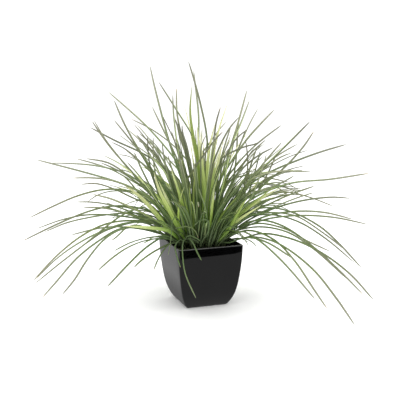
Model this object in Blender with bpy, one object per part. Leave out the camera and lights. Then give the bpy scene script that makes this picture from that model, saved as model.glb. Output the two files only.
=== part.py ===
"""Potted ornamental grass clump.

A square, tapering, gloss black planter with softly bowed sides, filled with dark soil.
Thirty-seven grass tufts stand in the soil in rings round the middle of the pot. Each tuft
is a short crown with some seven long narrow leaves, which rise, part and arch over.

Metres, +Z up. The origin is the middle of the pot's base and the pot's sides face along X and Y.
"""
import math

import bmesh
import bpy
import numpy as np

for ob in list(bpy.data.objects):
    bpy.data.objects.remove(ob, do_unlink=True)

# ------------------------------------------------------------------ driving dimensions
RIM = 0.1236                # width of the pot over its rim
HEIGHT = 0.1154             # height of the pot
WALL = 0.003                # wall of the pot
FLOOR = 0.004               # thickness of the pot's bottom
CORNER = 0.0044             # radius of the pot's upright corners at the rim
CORNER_STEPS = 4            # flats round each corner
INNER_CORNER = 0.0015       # radius of the corners inside the pot
LIP = 0.0008                # small chamfer on both edges of the rim
GAP = 0.0003                # clearance between pieces that touch
SOIL_TOP = 0.0934           # the soil ends 22 mm below the rim

CROWN_TOP = 0.1073          # top of every tuft's crown, 8 mm below the rim
CROWN_RADIUS = 0.0058
RINGS = (("centre", 1, 0.0), ("inner", 6, 0.0147), ("middle", 12, 0.0293), ("outer", 18, 0.0438))
MOST_LEAVES = 8             # leaves that one crown can carry in the first sharing out
LEAVES = {"centre": 7, "inner": 7, "middle": 7, "outer": 6}
SEED = 7
MOST_TWIST = math.radians(38.0)     # a leaf's most twist from one ring to the next
FIRST_RING = {"o": 0.026, "m": 0.034, "i": 0.034, "c": 0.034}   # height of a leaf's first ring

# side profile of the pot: share of the height, half width as a share of the rim's half width
PROFILE = ((0.0, 0.632), (0.010, 0.646), (0.066, 0.708), (0.175, 0.800), (0.34, 0.880),
           (0.50, 0.926), (0.67, 0.964), (0.81, 0.985), (0.993, 1.0))

# The leaves that show from the front are laid out on a squared sheet, 400 squares each way.
# The sheet is looked through from EYE, PITCH below level, with the pot turned by TURN, and
# ZOOM is the eye's distance to the sheet in squares.
EYE = np.array([-0.0002, -1.479, 0.4606])
PITCH = math.radians(10.32)
TURN = math.radians(19.715)
ZOOM = 819.0
AHEAD = np.array([0.0, math.cos(PITCH), -math.sin(PITCH)])
UPWARD = np.array([0.0, math.sin(PITCH), math.cos(PITCH)])

# Each row: ring (o outer, m middle, i inner), kind, width in mm, depth of the tip in mm
# (+ away from the viewer), then points across and down on the sheet from low to the tip.
G, V, O = "green", "lime", "olive"        # slender leaves, and two tints of broad ones
FRONT_LEAVES = [
    # long low leaves on the left
    ("o", G, 3.4,   20, (150,197, 130,186.5, 112,180, 88,173.2, 64,166.8, 36,159.6)),
    ("o", G, 3.4,   80, (145,186, 126,173.5, 110,168.5, 90,164.8, 70,163.4, 50.5,162.9)),
    ("o", G, 3.2,  140, (150,192, 128,178.5, 112,169.8, 95,163.7, 76,158.6)),
    ("m", G, 3.4, -110, (145,188, 135,181, 121,170, 107,162.3, 86,158.5)),
    ("o", G, 3.2, -130, (148,197, 130,187, 112,180.5, 93,177.8, 72,178)),
    ("o", G, 3.2,  150, (150,206, 130,196.5, 114,189, 97,183.7, 80.5,184.3)),
    ("o", G, 3.5,  -30, (150,198, 127,190.3, 103,189.6, 77,196, 52,206.8, 29,218)),
    ("m", G, 3.4, -160, (150,217, 128,206, 110,198.5, 92.5,194.3)),
    ("o", G, 3.2,  120, (150,219, 125,209.5, 106,204, 90,202, 76,202)),
    ("o", G, 3.2,  -60, (150,221, 130,214.5, 110,209, 95,207.4, 82.5,207.3)),
    ("o", G, 3.2,  190, (150,218, 130,211.5, 113,205.3, 106,202.5)),
    ("o", G, 3.4,   55, (155,222, 130,217.3, 105,214.5, 83,215.2, 60,220.2, 36,229)),
    ("o", G, 3.5,  -40, (152,212, 127,206, 108,206.7, 88,211.6, 58,223.8, 23,240.8)),
    ("o", G, 3.2,   90, (155,217, 135,213, 113,214, 90,217.3, 66,223, 44,232.3)),
    ("o", G, 3.2,   60, (162,235, 145,230, 118,226.7, 99,228.3, 71,235)),
    ("o", G, 3.0,  -90, (150,229, 135,225, 126,228, 117,236.5, 111,241)),
    ("o", G, 3.5,  -20, (150,222, 130,220.5, 107,223.6, 83,235, 57,255.5, 33,281)),
    ("o", G, 3.4,   30, (155,224, 130,222.5, 107,229, 77,244, 55,260, 36,279)),
    ("o", G, 3.5,  -90, (145,207, 125,213.5, 108,225, 88,241.5, 57,265.5, 35,283.7)),
    ("o", G, 3.2,  130, (140,222, 125,224.5, 104,231.5, 88,242, 71,254)),
    ("o", G, 3.6,  -70, (150,229, 121,228.5, 97,242, 76,259, 57,281, 42,298)),
    ("o", G, 3.6, -110, (155,231, 126,228, 106,238, 87,260, 75,279, 62,295)),
    ("o", G, 3.5, -120, (157,238.6, 142,241.5, 126,248.5, 111,259, 97.5,271)),
    ("o", G, 3.3,   30, (162,236.5, 150,237.2, 131,242.3, 114,250.8)),
    ("o", G, 3.5, -140, (163,236.5, 147,246.5, 130,262.5, 107.5,286.5)),
    ("o", G, 3.3, -110, (172,243, 155,251, 140,261.5, 134,267.5)),
    ("o", G, 3.2, -130, (170,243.5, 163,251, 156,264, 154,270)),
    # small leaves that hang over the front of the rim
    ("o", G, 2.8, -130, (176,216, 172.5,220, 171.5,232, 170,246, 168,255.5)),
    ("o", G, 2.6, -105, (180,239.5, 175,246, 176.5,255, 180.5,267.5)),
    ("o", G, 2.7, -150, (186,240, 183,246, 182.5,258, 185,275, 196,299)),
    ("o", G, 3.0, -112, (188,237, 192.5,242, 197,252, 201.5,260.5)),
    ("o", G, 2.8,  -72, (185.5,239, 188.5,235.5, 194,236.8, 200.5,240.8)),
    ("o", G, 2.6,  -90, (174,229, 181,227.3, 187,226.5, 194,229, 198.5,238)),
    ("o", G, 2.8, -115, (208,232, 208.5,221, 202,219.5, 193.5,226)),
    ("o", G, 2.8, -135, (209,236, 207.3,223, 205.8,210, 202.6,199.5, 198.3,187.5)),
    # lime leaves on the left
    ("m", V, 4.2,  -70, (182,236, 178.8,222, 179,206, 181,196, 184,187)),
    ("m", V, 9.8,  -80, (183,218, 181.3,198, 178,187, 173.8,175.5, 170,163)),
    ("o", V, 8.0, -105, (183,237, 175.5,223, 167.3,206, 160.8,194, 156.8,183.5, 153.8,172)),
    ("o", V, 8.0,  -85, (168,230, 158.5,216.5, 151.8,209, 144.5,201, 137,194, 129,188, 121,183)),
    ("o", V, 7.0,  -95, (182,237, 172,231.5, 158,228.5, 140,227, 124,226)),
    ("m", V, 7.0,  -35, (173,214, 167,199, 161,187, 155,175)),
    ("m", O, 3.8,  -95, (190,230, 188,213, 185.5,203, 183.5,193)),
    # broad upright leaves in the middle
    ("i", O, 7.0,  -20, (199,190, 198,160, 194,140, 190.3,112, 192,85)),
    ("i", V, 9.5, -100, (204,236, 204.5,205, 203.5,183, 201,163, 199,146, 197,126)),
    ("i", V, 4.6,  -60, (205,205, 204,180, 202.5,160, 201,143, 200.8,127)),
    ("m", V, 5.4, -100, (208.5,236, 211,218.6, 212.3,205.5, 213.6,195, 214.3,186.5)),
    ("i", V, 5.6,  -45, (213.5,172, 213.3,160, 214.2,150, 216,139.5, 218.6,131, 220.6,123.5, 224,113.5, 228,102)),
    ("i", V, 7.0,  -50, (208,200, 207,174, 208,156, 211,139, 215.5,122)),
    ("m", O, 4.5,  -95, (193,240, 191,213, 189.7,195, 190,184)),
    ("m", O, 3.8,  -80, (195,232, 194,212, 193.6,192, 195,172)),
    ("i", V, 3.8,   40, (200,180, 192.5,141, 188.5,121, 183.5,102)),
    ("i", G, 3.4,  -80, (208,190, 210,165, 214,138, 216.5,121, 220.5,107)),
    ("m", G, 3.2, -140, (187,180, 193,171, 198.6,162, 205.5,152.7, 212,143.5, 218,136.5, 223,131.5)),
    ("m", G, 3.2,  130, (195,165, 210,142, 221,127.5, 226.5,121.5)),
    # rising leaves on the left
    ("m", G, 3.5,  -20, (155,199, 134,174, 113,150.5, 101,134.5, 92,121)),
    ("m", G, 3.2,   60, (152,196, 127,167, 106,140.5, 94,120.5)),
    ("m", G, 3.4,   80, (163,166.5, 140,152, 116,141, 90,127.3)),
    ("i", G, 3.4,   35, (185,175, 171,154, 147,126.5, 127,108, 108.5,92)),
    ("m", G, 3.4,  -50, (170,198, 149,165, 133,140, 123,121, 114,100)),
    ("m", G, 3.2,   95, (158,192, 148,166, 137,148.5, 126,134.5, 114,120)),
    ("m", G, 3.2,  150, (190,165, 174,146, 152,129.5, 131.5,119)),
    ("m", G, 3.0,  140, (158,180, 145,166, 126,149.5, 111.5,142)),
    ("m", G, 3.4,  110, (170,178, 154,155, 142,142, 128.5,130)),
    ("m", G, 3.2,  -90, (172,180, 154,153, 136,134.5)),
    ("m", G, 3.2,  160, (190,184, 174,165, 153,145, 139,133)),
    ("m", G, 3.0, -130, (165,172, 149,155, 137,146)),
    ("m", G, 3.2,  -75, (158,190, 150,166, 148,150, 147.5,135.5)),
    ("m", G, 3.2, -105, (165,200, 155,172, 153.3,153, 153.3,137)),
    ("m", G, 3.0, -125, (172,190, 164,157, 162,143)),
    ("i", G, 3.2,  -60, (186,180, 174,152, 161,125, 152,106.5)),
    ("i", G, 3.8,  -10, (183,185, 169,141, 161,112, 153.5,82, 150,65.5)),
    ("i", G, 3.2,   60, (190,185, 177,147, 165,121, 161,113)),
    ("i", G, 3.5,   45, (203,165, 193,137, 176,109, 158.5,81.5)),
    ("i", G, 3.4,  -50, (182,180, 176.5,140, 173.3,112, 172.7,94.5)),
    ("i", G, 3.5,   70, (192,185, 183,143, 177,113, 176.5,88)),
    ("i", G, 3.2, -100, (192,175, 187,147, 182.5,132, 182,124.5)),
    ("i", G, 3.5,    0, (208,190, 207,138, 200.5,104, 193,76, 188.3,61)),
    ("i", G, 3.5,   50, (200,190, 198.3,142, 198.3,115, 194.5,80, 193.5,70)),
    ("i", G, 3.0, -110, (201,175, 201.5,146, 206,135)),
    ("m", G, 3.0, -120, (160,205, 147,186, 136,172, 127,162)),
    ("m", G, 3.6,  -60, (165,215, 152,190, 141,168, 134,152)),
    ("m", G, 3.0,   60, (162,184, 150,171.5, 141,162.5, 133,155.5, 125.5,150)),
    ("i", G, 3.0,   30, (192,172, 185,152, 180,137, 177.5,126, 173.5,117)),
    ("m", G, 2.8,  -60, (182,170, 180,156, 178.8,148, 178.2,141)),
    ("m", G, 2.8, -100, (176,178, 171,166, 168,155)),
    ("m", G, 3.2,  -92, (185,208, 182,190, 178.5,179.5, 170,171.5, 160,163, 150,156)),
    ("i", O, 3.4,  -60, (187,190, 184.8,178, 183,168, 181,156)),
    # rising leaves on the right
    ("i", G, 3.3,  -70, (210,206, 213.5,188, 217,178, 220.5,169.5, 225,162, 231,154)),
    ("m", G, 3.3,  -95, (217,221, 222.5,208, 229,197.5, 236,188.5, 243,182)),
    ("m", G, 3.0,  -60, (222,158, 230,153, 238,149.3, 247,146, 257,143.5, 264,139)),
    ("m", G, 3.0,   40, (226,184, 243,163.5, 251,153, 258,146.5, 266,139.5)),
    ("m", G, 3.0,  -60, (252,182, 264,169, 275,160.5, 284,155.5, 291.5,153)),
    ("i", G, 3.5,   10, (222,175, 230.5,147, 237.5,125, 247,90)),
    ("i", G, 3.2,  -60, (225,175, 231,147, 240.5,124, 249.5,100)),
    ("m", G, 3.3,   60, (222,190, 231.5,166, 241,143, 250.5,122, 258,108.5)),
    ("i", G, 3.6,  -30, (215,190, 228.5,166, 246,140.5, 260,124.5, 274.5,109.5)),
    ("m", G, 3.5,   75, (222,186, 240,161, 258,143, 281.5,125)),
    ("m", G, 3.0, -110, (222,165, 231,146, 238,137, 247,129.5)),
    ("i", G, 3.2,  -80, (207,185, 217,153, 229,129, 239,117)),
    ("i", G, 3.2,   80, (216,180, 224,148, 231,126)),
    ("i", G, 3.4,  110, (231,190, 236,160, 237.5,135, 239,117)),
    ("m", G, 3.3,  -90, (246,186, 259,169, 270.5,155, 282,142)),
    ("m", G, 3.6,  -30, (240,192, 264,167, 288,143.5, 310,121.5)),
    ("m", G, 3.3,  110, (243,182, 263,166.5, 280,154, 297.5,144)),
    ("m", G, 3.4,  -60, (245,205, 264,184.5, 285,167, 303.5,146.5, 314,131)),
    ("m", G, 3.3, -130, (226,186, 245,166, 259,155, 273.5,147.3)),
    ("m", G, 3.2, -100, (243,200, 250,168, 257.5,146)),
    ("m", G, 3.2,   60, (246,200, 256,168, 260.5,150)),
    ("m", G, 3.0, -150, (250,200, 262,170, 266.5,154)),
    ("m", G, 3.2, -130, (240,200, 247.5,170, 247,150, 245.5,140)),
    ("m", G, 3.2,  100, (255,195, 268.5,172, 276,155)),
    ("o", G, 3.2,   40, (162,224, 147,215, 134,209.5, 125,207, 116,206.5)),
    ("o", G, 3.0,   40, (155,212, 142,197, 134,187, 127.5,179.5, 121,174)),
    # long low leaves on the right
    ("o", G, 3.6,   20, (240,192, 266,174, 297,160.5, 322,151.5, 346.5,144.3)),
    ("m", G, 3.2,  130, (243,183, 266,168.5, 291,156, 308.5,149.8)),
    ("m", G, 3.4,  150, (243,180, 260,173.5, 278,171.3, 311,171.8)),
    ("m", G, 3.2, -140, (250,180, 268,173, 293.5,170)),
    ("o", G, 3.6,  -10, (245,204, 264,192.5, 292,183, 330,179.3, 369,173.3)),
    ("o", G, 3.3, -120, (240,203, 258,193, 281,183, 294.5,175.5)),
    ("o", G, 3.6,  -60, (240,218, 264,206.5, 288,195.5, 314.5,186)),
    ("o", G, 3.3,   90, (245,219, 271,208, 295,198.5, 313.5,192.5)),
    ("o", G, 3.5,   40, (245,222, 270,210, 299,201.3, 331,197.2, 350.5,198.3)),
    ("o", G, 3.4,  110, (248,206, 268,196, 286,192, 309,197, 334,206.5)),
    ("o", G, 3.2,  150, (245,206, 272,193.5, 298.5,189)),
    ("m", G, 3.2,  170, (240,190, 258,182.5, 279,185.3, 295,187.2)),
    ("m", G, 3.2,  190, (230,181, 247,175, 264,177, 290,182.5)),
    ("o", G, 3.4,  -50, (245,225, 270,215, 298,211.2, 325,212.5, 353,219.3)),
    ("o", G, 3.4,   20, (243,228, 265,219.5, 297,215.5, 333,217.3, 367.5,224.3)),
    ("o", G, 3.5,  -80, (245,212, 268,207.5, 292,212, 320,226.5, 338,242.5, 362,268.5)),
    ("o", G, 3.4,   40, (243,218, 271,214.5, 298,221.5, 325,238, 355,263)),
    ("o", G, 3.4, -110, (248,216, 270,212.5, 296,216, 322,232, 348,252)),
    ("o", G, 3.6,  -70, (240,239, 262,233.5, 292,239, 322,253, 350,274, 374,300.5)),
    ("o", G, 3.5, -105, (235,228, 258,220, 282,225.5, 315,248, 340,271, 363.5,295)),
    ("o", G, 3.3,   10, (232,232, 258,226.8, 287,232, 313,248.5, 347,279)),
    ("o", G, 3.3,  100, (243,229, 260,224.5, 288,230.5, 304,239.5, 330,251.5)),
    ("o", G, 3.6, -130, (228,238, 248,230.3, 273,239, 294,260, 315,291, 327,308.5)),
    ("o", G, 3.7, -195, (225,244, 246,236.8, 275,242, 311,267.5, 335,296.5, 355,325.5)),
    ("o", G, 3.5, -120, (230,236, 241,231, 259,240.5, 283,262, 315,299)),
    ("o", G, 3.3, -160, (228,243, 246,237.5, 265,241.5, 294,259)),
    # lime leaves on the right
    ("o", V, 5.6,  -95, (231,226, 243,216.8, 252,211, 261,205.5)),
    ("o", V, 6.6,  -60, (238,215.5, 250,206.5, 262,198, 273,191.5, 282,187)),
    ("o", O, 5.6, -105, (226,233, 235,218, 241,207.5, 247,198)),
    ("m", O, 4.8,  -95, (216,226, 223,213.5, 230,205, 237,197)),
    ("m", V, 5.0,  -10, (238,209, 246,198, 252,190, 259.5,178)),
    ("m", V, 4.4,   20, (217,212, 223.5,200, 229,192.5, 234,185)),
    ("m", O, 3.8,  -70, (248,208, 261,197, 270,190.5, 278,185)),
]
RING_OF = {"o": "outer", "m": "middle", "i": "inner"}

# The leaves that aren't drawn above end inside this outline on the sheet.
OUTLINE = [(116, 246), (102, 228), (88, 212), (80, 196), (84, 178), (98, 162), (108, 147),
           (116, 132), (134, 122), (154, 114), (174, 112), (192, 118), (206, 134), (222, 132),
           (240, 124), (256, 130), (274, 142), (292, 152), (304, 164), (308, 178), (306, 194),
           (300, 208), (290, 224), (284, 240), (255, 246)]

# Parts of the lime leaves that nothing hides: points across and down, and a radius, in squares.
SHOWN = [(174, 178, 2.5), (177, 186, 2.5), (203.5, 182, 5), (202, 170, 5), (200, 156, 4), (215, 196, 4), (214.5, 184, 3), (213.2, 206, 4),
         (211.5, 218, 4), (168, 207, 5), (172, 216, 5), (163, 197, 4), (146, 203, 5), (152.5, 210, 5),
         (139, 196, 5), (178, 230, 5), (165, 230, 4), (152, 228, 3), (176, 177, 4), (179, 190, 4),
         (178.5, 213, 4), (180.5, 196, 3), (249, 212.5, 4), (257, 207.5, 4), (240, 210, 3), (256, 202, 3)]

# Places where the clump is open and its background shows: points across and down, and a radius.
OPEN = [(144, 177, 2.5), (149.5, 181, 2), (147.5, 174, 1.5), (162, 172, 1), (164, 177, 1), (166.5, 180, 1),
        (168, 167, 1), (148, 156, 1.5), (155, 140, 2), (170, 128, 2.5), (172, 134, 1.5), (186, 126, 2.5),
        (186, 133, 2), (178.5, 141, 1), (171, 147, 1.5), (184, 153, 1.8), (186, 158.5, 1.8), (188, 164.5, 1.5),
        (190.5, 179, 1.2), (190.5, 152, 1), (193, 155, 1.5), (209, 128, 2.5), (208.5, 136, 1.5), (222, 137, 2.5),
        (219, 143, 1.5), (217, 152, 1), (217, 160, 1.5), (216, 165, 1), (219, 178, 1.8), (221, 172, 1.3),
        (217.5, 183, 1), (226.5, 188.5, 1.5), (222.5, 195, 1), (232, 197, 1.5), (230, 201, 2), (227.5, 206, 1.5),
        (230, 163.5, 1.8), (227.5, 170, 1), (239, 155, 2), (236, 160, 1.5), (237, 167, 1.5), (241, 163, 1.3),
        (232, 174, 1), (241, 179, 1), (234, 183, 1), (243.5, 171.5, 1), (252.5, 166, 1.2), (246.5, 168, 1),
        (259, 152, 2), (262.5, 160, 1), (268, 163, 1.5), (266, 182, 1), (270, 179.5, 1), (264, 187, 1),
        (254, 197.5, 1), (260, 194, 2), (249, 203, 1), (262, 209.5, 1), (157, 203, 1), (147, 209, 1.5),
        (130, 197, 2), (123, 199, 2.5), (142, 183, 1.5), (173, 156, 1), (153, 164, 1)]

# Places where the clump is thin, which the leaves that aren't drawn keep clear of.
THIN = [(265, 221, 3.5), (259, 222, 3), (253, 222, 3), (272, 222.5, 3.5), (246, 225.5, 2), (228, 205, 2),
        (219, 178, 2), (223, 212, 1.5), (168, 155, 2.5), (174, 143, 2), (174, 168, 2), (153, 218, 2),
        (131, 208, 2), (124, 180, 2.5), (157, 159, 2), (136, 154, 2.5), (232, 236, 2), (122, 226, 2),
        (154, 231, 2), (297, 235, 2.5), (231, 161, 2), (266, 214, 2), (270, 160, 2), (276, 163, 2),
        (266, 166, 2), (262, 172, 2), (258, 181, 2)]


# ------------------------------------------------------------------ the sheet and the curves
def lift(u, v, depth):
    """Where the line of sight through square (u, v) reaches a depth."""
    d = AHEAD + np.array([(u - 200.0) / ZOOM, 0.0, 0.0]) - UPWARD * ((v - 200.0) / ZOOM)
    return EYE + d * ((depth - EYE[1]) / d[1])


def see(p):
    """The square at which a point shows."""
    d = p - EYE
    z = d @ AHEAD
    return np.stack([200.0 + ZOOM * d[..., 0] / z, 200.0 - ZOOM * (d @ UPWARD) / z], -1)


def arc(p):
    """Distance along a chain of points."""
    return np.concatenate([[0.0], np.cumsum(np.linalg.norm(np.diff(p, axis=0), axis=1))])


def at_arc(curve, g):
    s = arc(curve)
    return np.stack([np.interp(g, s, curve[:, k]) for k in range(3)], -1)


def smooth(p, n):
    """n evenly spaced points on a smooth curve through p."""
    p = np.asarray(p, float)
    q = np.vstack([2 * p[0] - p[1], p, 2 * p[-1] - p[-2]])
    out = []
    for i in range(1, len(q) - 2):
        a, b, c, d = q[i - 1], q[i], q[i + 1], q[i + 2]
        ta = max(np.linalg.norm(b - a), 1e-6) ** 0.5
        tb = max(np.linalg.norm(c - b), 1e-6) ** 0.5
        tc = max(np.linalg.norm(d - c), 1e-6) ** 0.5
        m1 = tb * ((b - a) / ta - (c - a) / (ta + tb) + (c - b) / tb)
        m2 = tb * ((c - b) / tb - (d - b) / (tb + tc) + (d - c) / tc)
        for t in np.linspace(0, 1, 17)[:-1]:
            out.append((1 + 2 * t) * (1 - t) ** 2 * b + t * (1 - t) ** 2 * m1
                       + t * t * (3 - 2 * t) * c + t * t * (t - 1) * m2)
    out.append(p[-1])
    out = np.array(out)
    return at_arc(out, np.linspace(0, arc(out)[-1], n))


def arch(azimuth, first, last, length, base, n=9):
    """Centreline of a leaf that leaves its crown at the angle first above level and whose
    tip points at the angle last."""
    a = math.radians(azimuth)
    pts = [np.array(base, float)]
    for i in range(n - 1):
        s = (i + 0.5) / (n - 1)
        e = math.radians(first + (last - first) * s ** 1.15)
        step = length / (n - 1)
        pts.append(pts[-1] + step * np.array([math.cos(a) * math.cos(e),
                                              math.sin(a) * math.cos(e), math.sin(e)]))
    return np.array(pts)


def steer(base, squares):
    """The squares of a drawn leaf with its low part, which isn't drawn, led from the crown
    to the first drawn square and round the open places."""
    foot, rise = see(base), see(base + [0, 0, 0.014])
    gap = float(np.linalg.norm(squares[0] - rise))
    if gap < 9.0:
        return squares
    chain = np.vstack([foot, rise, squares])
    chain = smooth(np.column_stack([chain, np.zeros(len(chain))]), 161)[:, :2]
    last = int(np.argmin(np.linalg.norm(chain - squares[0], axis=1)))
    n = max(2, int(gap / 5.0))
    low = chain[np.linspace(int(0.12 * last), last, n + 2).astype(int)]
    low[0], low[-1] = rise, squares[0]
    places = np.array(OPEN)
    for _ in range(60):
        way = low[1:-1, None, :] - places[None, :, :2]
        d = np.maximum(np.sqrt((way ** 2).sum(2)), 1e-3)
        push = np.clip(places[:, 2] + 0.8 - d, 0.0, None) * 0.5
        low[1:-1] += (way * (push / d)[:, :, None]).sum(1)
        low[1:-1] = 0.7 * low[1:-1] + 0.15 * (low[:-2] + low[2:])
    return np.vstack([low[1:-1], squares])


def drawn(row, base):
    """Points of a leaf from the sheet: its depth grows from its crown's to its tip's."""
    squares = np.vstack([see(base), steer(base, row["squares"])])
    s = arc(squares)
    depth = base[1] + (row["depth"] - base[1]) * (s / s[-1]) ** 1.25
    return np.array([lift(u, v, y) for (u, v), y in zip(squares[1:], depth[1:])])


def inside(q, outline=OUTLINE):
    """Whether a square lies within the outline."""
    hit = False
    for (x0, y0), (x1, y1) in zip(outline, outline[1:] + outline[:1]):
        if (y0 > q[1]) != (y1 > q[1]) and q[0] < x0 + (q[1] - y0) * (x1 - x0) / (y1 - y0):
            hit = not hit
    return hit


# ------------------------------------------------------------------ which leaf grows from which tuft
def wrap(a):
    return (a + 180.0) % 360.0 - 180.0


def covers(curve, room=0.8):
    """How many points of a leaf pass before the places that are shown or across the open and thin ones."""
    squares = see(curve)
    total = 0
    above = curve[:, 2] > CROWN_TOP
    for places, counts in ((SHOWN, curve[:, 1] < 0.0), (OPEN, above), (THIN, above)):
        p = np.array(places)
        d = np.hypot(squares[:, :1] - p[:, 0], squares[:, 1:] - p[:, 1])
        total += int(((d < p[:, 2] + room) & counts[:, None]).sum())
    return total


def make_tufts():
    out = []
    for ring, n, r in RINGS:
        for k in range(n):
            az = (k + 0.5) * 360.0 / n if n > 1 else 0.0
            a = math.radians(az)
            name = "tuft_" + ring + ("" if n == 1 else "_%d" % (k + 1))
            out.append({"name": name, "ring": ring, "az": az, "rows": [],
                        "top": np.array([r * math.cos(a), r * math.sin(a), CROWN_TOP])})
    return out


def share_out(rows, tufts):
    """Each drawn leaf goes to the tuft that faces its tip; a full tuft passes its outermost
    leaf to the emptier side."""
    for letter, ring in RING_OF.items():
        ts = [t for t in tufts if t["ring"] == ring]
        n = len(ts)
        mine = [r for r in rows if r["ring"] == letter]
        for r in mine:
            r["slot"] = int((r["az"] % 360.0) / (360.0 / n)) % n
        for _ in range(400):
            count = [sum(1 for r in mine if r["slot"] == k) for k in range(n)]
            if max(count) <= MOST_LEAVES:
                break
            k = count.index(max(count))
            crowd = [sum(count[(k + step * j) % n] / j for j in range(1, max(2, n // 4)))
                     for step in (1, -1)]
            step = 1 if crowd[0] < crowd[1] else -1
            here = sorted((r for r in mine if r["slot"] == k),
                          key=lambda r: wrap(r["az"] - ts[k]["az"]))
            (here[-1] if step == 1 else here[0])["slot"] = (k + step) % n
        for r in mine:
            ts[r["slot"]]["rows"].append(r)


def plant():
    """Every leaf with the curve of its middle line, crown by crown."""
    rng = np.random.default_rng(SEED)
    tufts = make_tufts()
    rows = []
    for ring, kind, width, depth, pts in FRONT_LEAVES:
        squares = np.array(pts, float).reshape(-1, 2)
        tip = lift(squares[-1][0], squares[-1][1], depth / 1000.0)
        rows.append({"ring": ring, "kind": kind, "w": width / 1000.0, "depth": depth / 1000.0,
                     "squares": squares, "drawn": True,
                     "az": math.degrees(math.atan2(tip[1], tip[0]))})
    share_out(rows, tufts)
    spread = {"centre": 180.0, "inner": 34.0, "middle": 18.0, "outer": 13.0}
    leaves = []
    for t in tufts:
        toward = -math.sin(math.radians(t["az"]))      # 1 on the viewer's side
        n = max(0, LEAVES[t["ring"]] - len(t["rows"]))
        for j in range(n):
            best = None
            for attempt in range(60):
                az = t["az"] + rng.uniform(-1, 1) * spread[t["ring"]]
                if t["ring"] == "centre":
                    az = j * 360.0 / n + rng.uniform(-25, 25)
                    first, last, length = rng.uniform(80, 89), rng.uniform(55, 82), rng.uniform(0.20, 0.29)
                elif t["ring"] == "inner":
                    first, last, length = rng.uniform(76, 87), rng.uniform(45, 75), rng.uniform(0.19, 0.28)
                elif t["ring"] == "middle":
                    first, last, length = rng.uniform(66, 80), rng.uniform(0, 45), rng.uniform(0.20, 0.29)
                    if toward > 0.4:
                        first, last = rng.uniform(70, 82), rng.uniform(8, 45)
                else:
                    first, last, length = rng.uniform(48, 72), rng.uniform(-60, 0), rng.uniform(0.22, 0.30)
                    if toward > 0.4:
                        first, last, length = rng.uniform(62, 78), rng.uniform(0, 45), rng.uniform(0.13, 0.24)
                kind, w = G, rng.uniform(3.0, 3.6) / 1000.0
                if rng.random() < 0.07 and toward < 0.0:
                    kind, w, length = (V, O)[j % 2], rng.uniform(5.0, 7.0) / 1000.0, length * 0.75
                if attempt > 20:
                    length *= rng.uniform(0.65, 1.0)
                shape = arch(az, first, last, 1.0, (0.0, 0.0, 0.0))
                for _ in range(14):
                    c = t["top"] + shape * length
                    if inside(see(c[-1])) and inside(see(c[-2])):
                        break
                    length *= 0.94
                cost = covers(at_arc(c, np.linspace(0, length, 61)), 0.6)
                if best is None or cost < best[0]:
                    best = (cost, az, first, last, length, kind, w)
                if cost == 0:
                    break
            _, az, first, last, length, kind, w = best
            t["rows"].append({"ring": t["ring"][0], "kind": kind, "w": w, "drawn": False,
                              "az": az, "first": first, "last": last, "length": length})
        # leaves stand round the crown in the order in which they part above it
        part = []
        for r in t["rows"]:
            if r["drawn"]:
                c = smooth(np.vstack([t["top"], t["top"] + [0, 0, 0.012], drawn(r, t["top"])]), 41)
            else:
                c = smooth(arch(r["az"], r["first"], r["last"], r["length"], t["top"]), 41)
            part.append(at_arc(c, [2.0 * FIRST_RING[r["ring"]]])[0])
        part = np.array(part)
        mean = part.mean(0)
        angle = np.degrees(np.arctan2(part[:, 1] - mean[1], part[:, 0] - mean[0])) % 360.0
        order = np.argsort(angle)
        share = np.array([t["rows"][i]["w"] for i in order]) ** 0.7
        edge = np.concatenate([[0.0], np.cumsum(share / share.sum() * 360.0)])
        middle = (edge[:-1] + edge[1:]) / 2
        z = np.exp(1j * np.radians(angle[order] - middle)).mean()
        start = math.degrees(math.atan2(z.imag, z.real))
        mine = []
        for k, i in enumerate(order):
            r = t["rows"][i]
            a = math.radians(middle[k] + start)
            outward = np.array([math.cos(a), math.sin(a), 0.0])
            base = t["top"] + 0.62 * CROWN_RADIUS * outward
            if r["drawn"]:
                ctrl = np.vstack([base, base + [0, 0, 0.010], drawn(r, base)])
            else:
                ctrl = arch(r["az"], r["first"], r["last"], r["length"], base)
            curve = smooth(ctrl, 61)
            d = np.diff(curve, axis=0)
            d /= np.linalg.norm(d, axis=1)[:, None]
            bend = math.degrees(math.acos(max(-1.0, min(1.0, float(d[6] @ d[-1])))))
            length = arc(curve)[-1]
            steps = 6 if (bend > 55 and length > 0.16) else (5 if bend > 30 else 4)
            first = FIRST_RING[r["ring"]]
            g = np.concatenate([[0.0], first + (length - first) * np.linspace(0, 1, steps)])
            mine.append({"tuft": t["name"], "ring": r["ring"], "kind": r["kind"], "w": r["w"],
                         "drawn": r["drawn"], "sector": (edge[k] + start, edge[k + 1] + start),
                         "outward": outward, "nodes": at_arc(curve, g), "path": curve, "g": g,
                         "laid": at_arc(curve, g)})
        # the first rings stand in a wider circle of the same order, so no leaf crosses its
        # neighbour on the way up to them
        hub = np.mean([l["nodes"][1] for l in mine], axis=0)
        for l in mine:
            way = l["nodes"][1] - hub
            reach = min(max(float(np.linalg.norm(way[:2])), 0.0062), 0.0120)
            l["nodes"][1] = hub + l["outward"] * reach + [0, 0, way[2]]
        leaves += mine
    return tufts, leaves


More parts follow.
